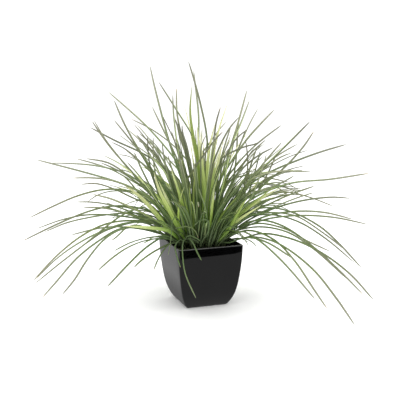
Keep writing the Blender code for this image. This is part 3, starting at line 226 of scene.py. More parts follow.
    ("o", G, 3.7, -195, (225,244, 246,236.8, 275,242, 311,267.5, 335,296.5, 355,325.5)),
    ("o", G, 3.5, -120, (230,236, 241,231, 259,240.5, 283,262, 315,299)),
    ("o", G, 3.3, -160, (228,243, 246,237.5, 265,241.5, 294,259)),
    # lime leaves on the right
    ("o", V, 5.6,  -95, (231,226, 243,216.8, 252,211, 261,205.5)),
    ("o", V, 6.6,  -60, (238,215.5, 250,206.5, 262,198, 273,191.5, 282,187)),
    ("o", O, 5.6, -105, (226,233, 235,218, 241,207.5, 247,198)),
    ("m", O, 4.8,  -95, (216,226, 223,213.5, 230,205, 237,197)),
    ("m", V, 5.0,  -10, (238,209, 246,198, 252,190, 259.5,178)),
    ("m", V, 4.4,   20, (217,212, 223.5,200, 229,192.5, 234,185)),
    ("m", O, 3.8,  -70, (248,208, 261,197, 270,190.5, 278,185)),
]
RING_OF = {"o": "outer", "m": "middle", "i": "inner"}

# The leaves that aren't drawn above end inside this outline on the sheet.
OUTLINE = [(116, 246), (102, 228), (88, 212), (80, 196), (84, 178), (98, 162), (108, 147),
           (116, 132), (134, 122), (154, 114), (174, 112), (192, 118), (206, 134), (222, 132),
           (240, 124), (256, 130), (274, 142), (292, 152), (304, 164), (308, 178), (306, 194),
           (300, 208), (290, 224), (284, 240), (255, 246)]

# Parts of the lime leaves that nothing hides: points across and down, and a radius, in squares.
SHOWN = [(174, 178, 2.5), (177, 186, 2.5), (203.5, 182, 5), (202, 170, 5), (200, 156, 4), (215, 196, 4), (214.5, 184, 3), (213.2, 206, 4),
         (211.5, 218, 4), (168, 207, 5), (172, 216, 5), (163, 197, 4), (146, 203, 5), (152.5, 210, 5),
         (139, 196, 5), (178, 230, 5), (165, 230, 4), (152, 228, 3), (176, 177, 4), (179, 190, 4),
         (178.5, 213, 4), (180.5, 196, 3), (249, 212.5, 4), (257, 207.5, 4), (240, 210, 3), (256, 202, 3)]

# Places where the clump is open and its background shows: points across and down, and a radius.
OPEN = [(144, 177, 2.5), (149.5, 181, 2), (147.5, 174, 1.5), (162, 172, 1), (164, 177, 1), (166.5, 180, 1),
        (168, 167, 1), (148, 156, 1.5), (155, 140, 2), (170, 128, 2.5), (172, 134, 1.5), (186, 126, 2.5),
        (186, 133, 2), (178.5, 141, 1), (171, 147, 1.5), (184, 153, 1.8), (186, 158.5, 1.8), (188, 164.5, 1.5),
        (190.5, 179, 1.2), (190.5, 152, 1), (193, 155, 1.5), (209, 128, 2.5), (208.5, 136, 1.5), (222, 137, 2.5),
        (219, 143, 1.5), (217, 152, 1), (217, 160, 1.5), (216, 165, 1), (219, 178, 1.8), (221, 172, 1.3),
        (217.5, 183, 1), (226.5, 188.5, 1.5), (222.5, 195, 1), (232, 197, 1.5), (230, 201, 2), (227.5, 206, 1.5),
        (230, 163.5, 1.8), (227.5, 170, 1), (239, 155, 2), (236, 160, 1.5), (237, 167, 1.5), (241, 163, 1.3),
        (232, 174, 1), (241, 179, 1), (234, 183, 1), (243.5, 171.5, 1), (252.5, 166, 1.2), (246.5, 168, 1),
        (259, 152, 2), (262.5, 160, 1), (268, 163, 1.5), (266, 182, 1), (270, 179.5, 1), (264, 187, 1),
        (254, 197.5, 1), (260, 194, 2), (249, 203, 1), (262, 209.5, 1), (157, 203, 1), (147, 209, 1.5),
        (130, 197, 2), (123, 199, 2.5), (142, 183, 1.5), (173, 156, 1), (153, 164, 1)]

# Places where the clump is thin, which the leaves that aren't drawn keep clear of.
THIN = [(265, 221, 3.5), (259, 222, 3), (253, 222, 3), (272, 222.5, 3.5), (246, 225.5, 2), (228, 205, 2),
        (219, 178, 2), (223, 212, 1.5), (168, 155, 2.5), (174, 143, 2), (174, 168, 2), (153, 218, 2),
        (131, 208, 2), (124, 180, 2.5), (157, 159, 2), (136, 154, 2.5), (232, 236, 2), (122, 226, 2),
        (154, 231, 2), (297, 235, 2.5), (231, 161, 2), (266, 214, 2), (270, 160, 2), (276, 163, 2),
        (266, 166, 2), (262, 172, 2), (258, 181, 2)]


# ------------------------------------------------------------------ the sheet and the curves
def lift(u, v, depth):
    """Where the line of sight through square (u, v) reaches a depth."""
    d = AHEAD + np.array([(u - 200.0) / ZOOM, 0.0, 0.0]) - UPWARD * ((v - 200.0) / ZOOM)
    return EYE + d * ((depth - EYE[1]) / d[1])


def see(p):
    """The square at which a point shows."""
    d = p - EYE
    z = d @ AHEAD
    return np.stack([200.0 + ZOOM * d[..., 0] / z, 200.0 - ZOOM * (d @ UPWARD) / z], -1)


def arc(p):
    """Distance along a chain of points."""
    return np.concatenate([[0.0], np.cumsum(np.linalg.norm(np.diff(p, axis=0), axis=1))])


def at_arc(curve, g):
    s = arc(curve)
    return np.stack([np.interp(g, s, curve[:, k]) for k in range(3)], -1)


def smooth(p, n):
    """n evenly spaced points on a smooth curve through p."""
    p = np.asarray(p, float)
    q = np.vstack([2 * p[0] - p[1], p, 2 * p[-1] - p[-2]])
    out = []
    for i in range(1, len(q) - 2):
        a, b, c, d = q[i - 1], q[i], q[i + 1], q[i + 2]
        ta = max(np.linalg.norm(b - a), 1e-6) ** 0.5
        tb = max(np.linalg.norm(c - b), 1e-6) ** 0.5
        tc = max(np.linalg.norm(d - c), 1e-6) ** 0.5
        m1 = tb * ((b - a) / ta - (c - a) / (ta + tb) + (c - b) / tb)
        m2 = tb * ((c - b) / tb - (d - b) / (tb + tc) + (d - c) / tc)
        for t in np.linspace(0, 1, 17)[:-1]:
            out.append((1 + 2 * t) * (1 - t) ** 2 * b + t * (1 - t) ** 2 * m1
                       + t * t * (3 - 2 * t) * c + t * t * (t - 1) * m2)
    out.append(p[-1])
    out = np.array(out)
    return at_arc(out, np.linspace(0, arc(out)[-1], n))


def arch(azimuth, first, last, length, base, n=9):
    """Centreline of a leaf that leaves its crown at the angle first above level and whose
    tip points at the angle last."""
    a = math.radians(azimuth)
    pts = [np.array(base, float)]
    for i in range(n - 1):
        s = (i + 0.5) / (n - 1)
        e = math.radians(first + (last - first) * s ** 1.15)
        step = length / (n - 1)
        pts.append(pts[-1] + step * np.array([math.cos(a) * math.cos(e),
                                              math.sin(a) * math.cos(e), math.sin(e)]))
    return np.array(pts)


def steer(base, squares):
    """The squares of a drawn leaf with its low part, which isn't drawn, led from the crown
    to the first drawn square and round the open places."""
    foot, rise = see(base), see(base + [0, 0, 0.014])
    gap = float(np.linalg.norm(squares[0] - rise))
    if gap < 9.0:
        return squares
    chain = np.vstack([foot, rise, squares])
    chain = smooth(np.column_stack([chain, np.zeros(len(chain))]), 161)[:, :2]
    last = int(np.argmin(np.linalg.norm(chain - squares[0], axis=1)))
    n = max(2, int(gap / 5.0))
    low = chain[np.linspace(int(0.12 * last), last, n + 2).astype(int)]
    low[0], low[-1] = rise, squares[0]
    places = np.array(OPEN)
    for _ in range(60):
        way = low[1:-1, None, :] - places[None, :, :2]
        d = np.maximum(np.sqrt((way ** 2).sum(2)), 1e-3)
        push = np.clip(places[:, 2] + 0.8 - d, 0.0, None) * 0.5
        low[1:-1] += (way * (push / d)[:, :, None]).sum(1)
        low[1:-1] = 0.7 * low[1:-1] + 0.15 * (low[:-2] + low[2:])
    return np.vstack([low[1:-1], squares])


def drawn(row, base):
    """Points of a leaf from the sheet: its depth grows from its crown's to its tip's."""
    squares = np.vstack([see(base), steer(base, row["squares"])])
    s = arc(squares)
    depth = base[1] + (row["depth"] - base[1]) * (s / s[-1]) ** 1.25
    return np.array([lift(u, v, y) for (u, v), y in zip(squares[1:], depth[1:])])


def inside(q, outline=OUTLINE):
    """Whether a square lies within the outline."""
    hit = False
    for (x0, y0), (x1, y1) in zip(outline, outline[1:] + outline[:1]):
        if (y0 > q[1]) != (y1 > q[1]) and q[0] < x0 + (q[1] - y0) * (x1 - x0) / (y1 - y0):
            hit = not hit
    return hit


# ------------------------------------------------------------------ which leaf grows from which tuft
def wrap(a):
    return (a + 180.0) % 360.0 - 180.0


def covers(curve, room=0.8):
    """How many points of a leaf pass before the places that are shown or across the open and thin ones."""
    squares = see(curve)
    total = 0
    above = curve[:, 2] > CROWN_TOP
    for places, counts in ((SHOWN, curve[:, 1] < 0.0), (OPEN, above), (THIN, above)):
        p = np.array(places)
        d = np.hypot(squares[:, :1] - p[:, 0], squares[:, 1:] - p[:, 1])
        total += int(((d < p[:, 2] + room) & counts[:, None]).sum())
    return total


def make_tufts():
    out = []
    for ring, n, r in RINGS:
        for k in range(n):
            az = (k + 0.5) * 360.0 / n if n > 1 else 0.0
            a = math.radians(az)
            name = "tuft_" + ring + ("" if n == 1 else "_%d" % (k + 1))
            out.append({"name": name, "ring": ring, "az": az, "rows": [],
                        "top": np.array([r * math.cos(a), r * math.sin(a), CROWN_TOP])})
    return out


def share_out(rows, tufts):
    """Each drawn leaf goes to the tuft that faces its tip; a full tuft passes its outermost
    leaf to the emptier side."""
    for letter, ring in RING_OF.items():
        ts = [t for t in tufts if t["ring"] == ring]
        n = len(ts)
        mine = [r for r in rows if r["ring"] == letter]
        for r in mine:
            r["slot"] = int((r["az"] % 360.0) / (360.0 / n)) % n
        for _ in range(400):
            count = [sum(1 for r in mine if r["slot"] == k) for k in range(n)]
            if max(count) <= MOST_LEAVES:
                break
            k = count.index(max(count))
            crowd = [sum(count[(k + step * j) % n] / j for j in range(1, max(2, n // 4)))
                     for step in (1, -1)]
            step = 1 if crowd[0] < crowd[1] else -1
            here = sorted((r for r in mine if r["slot"] == k),
                          key=lambda r: wrap(r["az"] - ts[k]["az"]))
            (here[-1] if step == 1 else here[0])["slot"] = (k + step) % n
        for r in mine:
            ts[r["slot"]]["rows"].append(r)


def plant():
    """Every leaf with the curve of its middle line, crown by crown."""
    rng = np.random.default_rng(SEED)
    tufts = make_tufts()
    rows = []
    for ring, kind, width, depth, pts in FRONT_LEAVES:
        squares = np.array(pts, float).reshape(-1, 2)
        tip = lift(squares[-1][0], squares[-1][1], depth / 1000.0)
        rows.append({"ring": ring, "kind": kind, "w": width / 1000.0, "depth": depth / 1000.0,
                     "squares": squares, "drawn": True,
                     "az": math.degrees(math.atan2(tip[1], tip[0]))})
    share_out(rows, tufts)
    spread = {"centre": 180.0, "inner": 34.0, "middle": 18.0, "outer": 13.0}
    leaves = []
    for t in tufts:
        toward = -math.sin(math.radians(t["az"]))      # 1 on the viewer's side
        n = max(0, LEAVES[t["ring"]] - len(t["rows"]))
        for j in range(n):
            best = None
            for attempt in range(60):
                az = t["az"] + rng.uniform(-1, 1) * spread[t["ring"]]
                if t["ring"] == "centre":
                    az = j * 360.0 / n + rng.uniform(-25, 25)
                    first, last, length = rng.uniform(80, 89), rng.uniform(55, 82), rng.uniform(0.20, 0.29)
                elif t["ring"] == "inner":
                    first, last, length = rng.uniform(76, 87), rng.uniform(45, 75), rng.uniform(0.19, 0.28)
                elif t["ring"] == "middle":
                    first, last, length = rng.uniform(66, 80), rng.uniform(0, 45), rng.uniform(0.20, 0.29)
                    if toward > 0.4:
                        first, last = rng.uniform(70, 82), rng.uniform(8, 45)
                else:
                    first, last, length = rng.uniform(48, 72), rng.uniform(-60, 0), rng.uniform(0.22, 0.30)
                    if toward > 0.4:
                        first, last, length = rng.uniform(62, 78), rng.uniform(0, 45), rng.uniform(0.13, 0.24)
                kind, w = G, rng.uniform(3.0, 3.6) / 1000.0
                if rng.random() < 0.07 and toward < 0.0:
                    kind, w, length = (V, O)[j % 2], rng.uniform(5.0, 7.0) / 1000.0, length * 0.75
                if attempt > 20:
                    length *= rng.uniform(0.65, 1.0)
                shape = arch(az, first, last, 1.0, (0.0, 0.0, 0.0))
                for _ in range(14):
                    c = t["top"] + shape * length
                    if inside(see(c[-1])) and inside(see(c[-2])):
                        break
                    length *= 0.94
                cost = covers(at_arc(c, np.linspace(0, length, 61)), 0.6)
                if best is None or cost < best[0]:
                    best = (cost, az, first, last, length, kind, w)
                if cost == 0:
                    break
            _, az, first, last, length, kind, w = best
            t["rows"].append({"ring": t["ring"][0], "kind": kind, "w": w, "drawn": False,
                              "az": az, "first": first, "last": last, "length": length})
        # leaves stand round the crown in the order in which they part above it
        part = []
        for r in t["rows"]:
            if r["drawn"]:
                c = smooth(np.vstack([t["top"], t["top"] + [0, 0, 0.012], drawn(r, t["top"])]), 41)
            else:
                c = smooth(arch(r["az"], r["first"], r["last"], r["length"], t["top"]), 41)
            part.append(at_arc(c, [2.0 * FIRST_RING[r["ring"]]])[0])
        part = np.array(part)
        mean = part.mean(0)
        angle = np.degrees(np.arctan2(part[:, 1] - mean[1], part[:, 0] - mean[0])) % 360.0
        order = np.argsort(angle)
        share = np.array([t["rows"][i]["w"] for i in order]) ** 0.7
        edge = np.concatenate([[0.0], np.cumsum(share / share.sum() * 360.0)])
        middle = (edge[:-1] + edge[1:]) / 2
        z = np.exp(1j * np.radians(angle[order] - middle)).mean()
        start = math.degrees(math.atan2(z.imag, z.real))
        mine = []
        for k, i in enumerate(order):
            r = t["rows"][i]
            a = math.radians(middle[k] + start)
            outward = np.array([math.cos(a), math.sin(a), 0.0])
            base = t["top"] + 0.62 * CROWN_RADIUS * outward
            if r["drawn"]:
                ctrl = np.vstack([base, base + [0, 0, 0.010], drawn(r, base)])
            else:
                ctrl = arch(r["az"], r["first"], r["last"], r["length"], base)
            curve = smooth(ctrl, 61)
            d = np.diff(curve, axis=0)
            d /= np.linalg.norm(d, axis=1)[:, None]
            bend = math.degrees(math.acos(max(-1.0, min(1.0, float(d[6] @ d[-1])))))
            length = arc(curve)[-1]
            steps = 6 if (bend > 55 and length > 0.16) else (5 if bend > 30 else 4)
            first = FIRST_RING[r["ring"]]
            g = np.concatenate([[0.0], first + (length - first) * np.linspace(0, 1, steps)])
            mine.append({"tuft": t["name"], "ring": r["ring"], "kind": r["kind"], "w": r["w"],
                         "drawn": r["drawn"], "sector": (edge[k] + start, edge[k + 1] + start),
                         "outward": outward, "nodes": at_arc(curve, g), "path": curve, "g": g,
                         "laid": at_arc(curve, g)})
        # the first rings stand in a wider circle of the same order, so no leaf crosses its
        # neighbour on the way up to them
        hub = np.mean([l["nodes"][1] for l in mine], axis=0)
        for l in mine:
            way = l["nodes"][1] - hub
            reach = min(max(float(np.linalg.norm(way[:2])), 0.0062), 0.0120)
            l["nodes"][1] = hub + l["outward"] * reach + [0, 0, way[2]]
        leaves += mine
    return tufts, leaves


# ------------------------------------------------------------------ leaves kept clear of one another
def closest(p1, q1, p2, q2):
    """Nearest points of pairs of straight pieces."""
    d1, d2, r = q1 - p1, q2 - p2, p1 - p2
    a = (d1 * d1).sum(1)
    e = (d2 * d2).sum(1)
    f = (d2 * r).sum(1)
    c = (d1 * r).sum(1)
    b = (d1 * d2).sum(1)
    den = a * e - b * b
    s = np.where(den > 1e-14, np.clip((b * f - c * e) / np.maximum(den, 1e-14), 0, 1), 0.5)
    t = np.clip((b * s + f) / np.maximum(e, 1e-14), 0, 1)
    s = np.clip((b * t - c) / np.maximum(a, 1e-14), 0, 1)
    t = np.clip((b * s + f) / np.maximum(e, 1e-14), 0, 1)
    return s, t, p1 + d1 * s[:, None], p2 + d2 * t[:, None]


def part_leaves(leaves, rounds=260, held=0):
    """Shift the rings of the leaves a few millimetres until no two leaves touch. A drawn leaf
    moves along its lines of sight, so it keeps its place on the sheet."""
    start = np.cumsum([0] + [len(l["nodes"]) for l in leaves])
    P = np.vstack([l["nodes"] for l in leaves])
    P0 = P.copy()
    N = len(P)
    fixed = np.zeros(N, bool)
    sight = np.zeros(N, bool)
    prev, nxt = np.arange(N), np.arange(N)
    a_, b_, leaf_, order_, rad_ = [], [], [], [], []
    for k, l in enumerate(leaves):
        o, n = start[k], len(l["nodes"])
        fixed[o] = True
        if k < held:
            fixed[o:o + n] = True
        if l["drawn"]:
            sight[o + 2:o + n] = True
        for i in range(n - 1):
            a_.append(o + i)
            b_.append(o + i + 1)
            leaf_.append(k)
            order_.append(i)
            rad_.append(0.43 * l["w"] * (0.6 if i == n - 2 else 1.0) + 0.0004)
            nxt[o + i] = o + i + 1
            prev[o + i + 1] = o + i
    a_, b_, leaf_, order_, rad_ = map(np.array, (a_, b_, leaf_, order_, rad_))
    names = sorted(set(l["tuft"] for l in leaves))
    tuft_ = np.array([names.index(leaves[k]["tuft"]) for k in leaf_])
    rays = P - EYE
    rays /= np.linalg.norm(rays, axis=1)[:, None]
    ii, jj = np.triu_indices(len(a_), 1)
    keep = (leaf_[ii] != leaf_[jj]) & (np.maximum(leaf_[ii], leaf_[jj]) >= held)
    ii, jj = ii[keep], jj[keep]
    cs, sn = math.cos(-TURN), math.sin(-TURN)
    for it in range(rounds):
        if it % 8 == 0:
            mid = (P[a_] + P[b_]) / 2
            half = np.linalg.norm(P[b_] - P[a_], axis=1) / 2
            dd = mid[ii] - mid[jj]
            near = (dd * dd).sum(1) < (half[ii] + half[jj] + rad_[ii] + rad_[jj] + 0.012) ** 2
            pi, pj = ii[near], jj[near]
        s, t, x, y = closest(P[a_[pi]], P[b_[pi]], P[a_[pj]], P[b_[pj]])
        v = y - x
        d = np.linalg.norm(v, axis=1)
        need = rad_[pi] + rad_[pj]
        same = tuft_[pi] == tuft_[pj]
        both = same & (order_[pi] == 0) & (order_[pj] == 0)
        need = np.where(same & ((order_[pi] == 0) | (order_[pj] == 0)), need * 0.85, need)
        need = np.where(both, need * np.clip(1.6 * np.minimum(s, t), 0.0, 1.0), need)
        bad = d < need
        if it > 10 and not bad.any():
            break
        k1, k2, s, t, v, d, need = pi[bad], pj[bad], s[bad], t[bad], v[bad], d[bad], need[bad]
        cross = np.cross(P[b_[k1]] - P[a_[k1]], P[b_[k2]] - P[a_[k2]])
        cross /= np.maximum(np.linalg.norm(cross, axis=1), 1e-12)[:, None]
        tiny = d < 2e-5
        n = np.where(tiny[:, None], cross, v / np.maximum(d, 2e-5)[:, None])
        amount = (need - d) * 0.5 + 0.00003
        move = np.zeros((N, 3))
        count = np.zeros(N)
        for kk, w, sign in ((k1, s, -1.0), (k2, t, 1.0)):
            for idx, wt in ((a_[kk], 1 - w), (b_[kk], w)):
                wn = wt / np.maximum((1 - w) ** 2 + w ** 2, 0.5)
                step = n * (sign * amount * wn)[:, None]
                ray = rays[idx]
                along = (n * ray).sum(1) * sign
                way = np.where(np.abs(along) > 0.06, np.sign(along), sign)
                by_ray = ray * (way * amount * wn / np.maximum(np.abs(along), 0.4))[:, None]
                step = np.where(sight[idx][:, None], by_ray + 0.12 * step, step)
                free = ~fixed[idx]
                np.add.at(move, idx[free], step[free])
                np.add.at(count, idx[free], wt[free])
        P = P + move / np.maximum(count, 1.0)[:, None]
        # a ring shares its shift with its neighbours at first, so the leaf stays smooth
        ease = 0.03 if it < 60 else 0.0
        D = P - P0
        D = D + ease * np.where(fixed[:, None], 0.0, D[prev] + D[nxt] - 2 * D)
        P = P0 + D
        # over the rim, and off the ground
        for f in np.linspace(0.0, 1.0, 9):
            q = P[a_] * (1 - f) + P[b_] * f
            m = np.maximum(np.abs(cs * q[:, 0] - sn * q[:, 1]), np.abs(sn * q[:, 0] + cs * q[:, 1]))
            low_z = HEIGHT + 0.0012 + rad_
            low = (m > 0.0545) & (m < 0.0645) & (q[:, 2] < low_z) & (q[:, 2] > HEIGHT - 0.030)
            if low.any():
                dz = np.minimum(low_z - q[:, 2], 0.004)[low]
                ka, kb = a_[low], b_[low]
                np.maximum.at(P[:, 2], kb, P[kb, 2] + dz * max(f, 0.35) * 0.6)
                ok = ~fixed[ka]
                np.maximum.at(P[:, 2], ka[ok], P[ka[ok], 2] + dz[ok] * (1 - f) * 0.6)
        P[:, 2] = np.maximum(P[:, 2], 0.008)
    for k, l in enumerate(leaves):
        l["nodes"] = P[start[k]:start[k + 1]].copy()


def turned(p):
    """From the viewer's axes to the pot's axes."""
    c, s = math.cos(-TURN), math.sin(-TURN)
    q = np.asarray(p, float)
    return np.stack([c * q[..., 0] - s * q[..., 1], s * q[..., 0] + c * q[..., 1], q[..., 2]], -1)


def face_leaves(leaves):
    """The way each leaf's flat side looks. Drawn leaves look at the viewer, a little tilted."""
    rng = np.random.default_rng(SEED + 1)
    for l in leaves:
        nodes = turned(l["nodes"])
        m = len(nodes) // 2
        lean, tilt = rng.uniform(2.0, 6.0) * rng.choice((-1, 1)), rng.uniform(-1, 1)
        if l["drawn"]:
            face = turned(EYE - l["nodes"][m])
            along = nodes[min(m + 1, len(nodes) - 1)] - nodes[m - 1]
            along = along / np.linalg.norm(along)
            face = face - along * float(face @ along)
            face = rotate(face, along, tilt * math.radians(32.0 if l["kind"] == G else 12.0))
        else:
            out = nodes[-1] - nodes[0]
            face = np.array([-out[1], out[0], 0.0]) * lean + np.array([0, 0, 1.0])
        l["face"] = face / np.linalg.norm(face)


# ------------------------------------------------------------------ leaf sections
def width_at(kind, s):
    if kind != G:
        return float(np.interp(s, (0, 0.10, 0.35, 0.6, 0.82, 1.0), (0.55, 0.62, 1.0, 0.95, 0.62, 0.0)))
    return float(np.interp(s, (0, 0.12, 0.3, 0.65, 0.84, 1.0), (0.8, 0.88, 1.0, 0.95, 0.72, 0.0)))


def thickness(kind, w):
    """A slender leaf is keeled like a fold, a broad one is nearly flat."""
    return 0.56 * w if kind == G else 0.0015


def rotate(v, axis, angle):
    c, s = math.cos(angle), math.sin(angle)
    return v * c + np.cross(axis, v) * s + axis * float(axis @ v) * (1 - c)


def sections(nodes, side0, face):
    """Side and face directions at each ring. The side starts as side0 at the crown, is carried
    along the leaf without twist and then turned gradually until the face looks along face."""
    T = np.zeros_like(nodes)
    T[1:-1] = nodes[2:] - nodes[:-2]
    T[0] = (0, 0, 1)
    T[-1] = nodes[-1] - nodes[-2]
    T /= np.linalg.norm(T, axis=1)[:, None]
    side = side0 - T[0] * float(side0 @ T[0])
    side /= np.linalg.norm(side)
    out = [side]
    for i in range(1, len(nodes)):
        axis = np.cross(T[i - 1], T[i])
        n = np.linalg.norm(axis)
        if n > 1e-9:
            side = rotate(side, axis / n, math.atan2(n, float(T[i - 1] @ T[i])))
        side = side - T[i] * float(side @ T[i])
        side /= np.linalg.norm(side)
        out.append(side)
    s = arc(nodes)
    s = s / s[-1]
    m = len(nodes) // 2
    want = np.cross(T[m], face)
    roll = 0.0
    if np.linalg.norm(want) > 0.2:
        want /= np.linalg.norm(want)
        roll = math.atan2(float(np.cross(out[m], want) @ T[m]), float(out[m] @ want))
        if roll > math.pi / 2:
            roll -= math.pi
        if roll < -math.pi / 2:
            roll += math.pi
    res = []
    now = 0.0
    for i in range(len(nodes)):
        k = min(1.0, s[i] / 0.3)
        k = k * k * (3 - 2 * k)
        most = MOST_TWIST * (0.5 if i < 2 else 1.0)
        now += max(-most, min(most, roll * k - now))
        sd = rotate(out[i], T[i], now)
        res.append((sd, np.cross(T[i], sd)))
    return res, s


# ------------------------------------------------------------------ extra leaves
EXTRA = {"centre": 8, "inner": 9, "middle": 8, "outer": 6}
# squares, with a reach, where the clump is thin and light shows between the leaves
LIGHT = [(262, 172, 3.5), (266, 166, 3.5), (258, 181, 3.0), (271, 160, 3.5), (276, 163, 3.5), (254, 188, 3.0),
         (265, 221, 4.5), (253, 222, 4.0), (171, 155, 3.5), (228, 205, 3.0), (219, 179, 3.0), (272, 222, 4.5),
         (259, 222, 4.0), (232, 236, 3.0), (246, 225, 3.0), (175, 168, 3.0), (223, 212, 2.0), (136, 154, 3.0),
         (220, 172, 3.0), (266, 214, 2.5), (178, 175, 2.5), (154, 231, 3.0), (254, 196, 2.5), (297, 235, 3.0),
         (131, 208, 2.5), (153, 218, 2.5), (229, 161, 3.0), (230, 198, 3.0), (180, 128, 2.5), (172, 148, 3.0),
         (186, 160, 2.5), (143, 156, 2.5), (122, 226, 2.5), (134, 147, 2.5), (161, 139, 2.5), (233, 148, 2.5)]
# squares where the clump is dense, and how many small leaves cross each
CROSSED = [(275, 197, 3), (227, 144, 2), (239, 180, 3), (243, 236, 3), (268, 201, 2), (243, 175, 5), (241, 185, 2), (249, 160, 2), (135, 216, 2),
           (261, 202, 1), (282, 197, 2), (256, 211, 2), (229, 137, 1), (254, 164, 2), (157, 152, 2), (123, 212, 3),
           (158, 169, 2), (182, 146, 1), (135, 198, 2), (247, 168, 4), (145, 200, 1), (149, 240, 2), (225, 151, 2),
           (152, 205, 2), (255, 167, 2), (138, 201, 2), (156, 194, 2), (137, 175, 2), (257, 159, 1), (156, 168, 2),
           (230, 134, 2)]
# squares with pale leaves behind the green ones
PALE = [(221, 147, 3), (218, 154, 2), (191, 151, 3), (189, 140, 2), (193, 158, 2), (175, 173, 2), (228, 141, 2),
        (164, 178, 2), (182, 138, 1), (213, 158, 2), (236, 147, 1), (202, 163, 2), (209, 150, 1), (176, 160, 1)]
INNER_OUTLINE = [(205 + 0.88 * (x - 205), 222 + 0.86 * (y - 222)) for x, y in OUTLINE]


def shades(curve):
    """How many points of a leaf cross the thin places."""
    squares, places = see(curve), np.array(LIGHT)
    d = np.hypot(squares[:, :1] - places[:, 0], squares[:, 1:] - places[:, 1])
    return int((d < places[:, 2]).sum())


def extra_leaves(tufts):
    """The small leaves that fill the heart of the clump, past the ones that the solids hold."""
    rng = np.random.default_rng(SEED + 20)
    spread = {"centre": 180.0, "inner": 42.0, "middle": 26.0, "outer": 16.0}
    out = []
    for t in tufts:
        toward = -math.sin(math.radians(t["az"]))
        n = EXTRA[t["ring"]] if toward < 0.3 or t["ring"] == "inner" else EXTRA[t["ring"]] - 5
        for j in range(n):
            best = None
            for _ in range(24):
                az = t["az"] + rng.uniform(-1, 1) * spread[t["ring"]]
                if t["ring"] == "centre":
                    az = j * 360.0 / n + rng.uniform(-30, 30)
                    first, last, length = rng.uniform(80, 88), rng.uniform(50, 78), rng.uniform(0.13, 0.24)
                elif t["ring"] == "inner":
                    first, last, length = rng.uniform(72, 86), rng.uniform(35, 70), rng.uniform(0.12, 0.24)
                elif t["ring"] == "middle":
                    first, last, length = rng.uniform(62, 80), rng.uniform(-10, 50), rng.uniform(0.11, 0.24)
                else:
                    first, last, length = rng.uniform(46, 72), rng.uniform(-50, 20), rng.uniform(0.10, 0.22)
                    if toward > 0.4:
                        first, last, length = rng.uniform(60, 80), rng.uniform(0, 50), rng.uniform(0.08, 0.17)
                a = math.radians(az + rng.uniform(-40, 40))
                base = t["top"] + CROWN_RADIUS * rng.uniform(0.1, 0.45) * np.array([math.cos(a), math.sin(a), 0.0])
                for _ in range(14):
                    c = arch(az, first, last, length, base)
                    if inside(see(c[-1]), INNER_OUTLINE) and inside(see(c[-2]), INNER_OUTLINE):
                        break
                    length *= 0.93
                fine = at_arc(c, np.linspace(0, length, 61))
                cost = covers(fine, 0.5) + shades(fine)
                if best is None or cost < best[0]:
                    best = (cost, c, a)
                if cost == 0:
                    break
            _, c, a = best
            curve = smooth(c, 61)
            whole = arc(curve)[-1]
            steps = 5 if whole > 0.12 else 4
            start = min(0.030, 0.3 * whole)
            g = np.concatenate([[0.0], start + (whole - start) * np.linspace(0, 1, steps)])
            kind, w = G, rng.uniform(2.5, 3.2) / 1000.0
            if rng.random() < 0.12 and toward < 0.0:
                kind, w = (O, V)[j % 2], rng.uniform(3.4, 5.0) / 1000.0
            out.append({"tuft": t["name"], "ring": t["ring"][0], "kind": kind, "w": w, "drawn": False,
                        "outward": np.array([math.cos(a), math.sin(a), 0.0]),
                        "nodes": at_arc(curve, g), "path": curve, "g": g, "laid": at_arc(curve, g),
                        "extra": True})
    return out


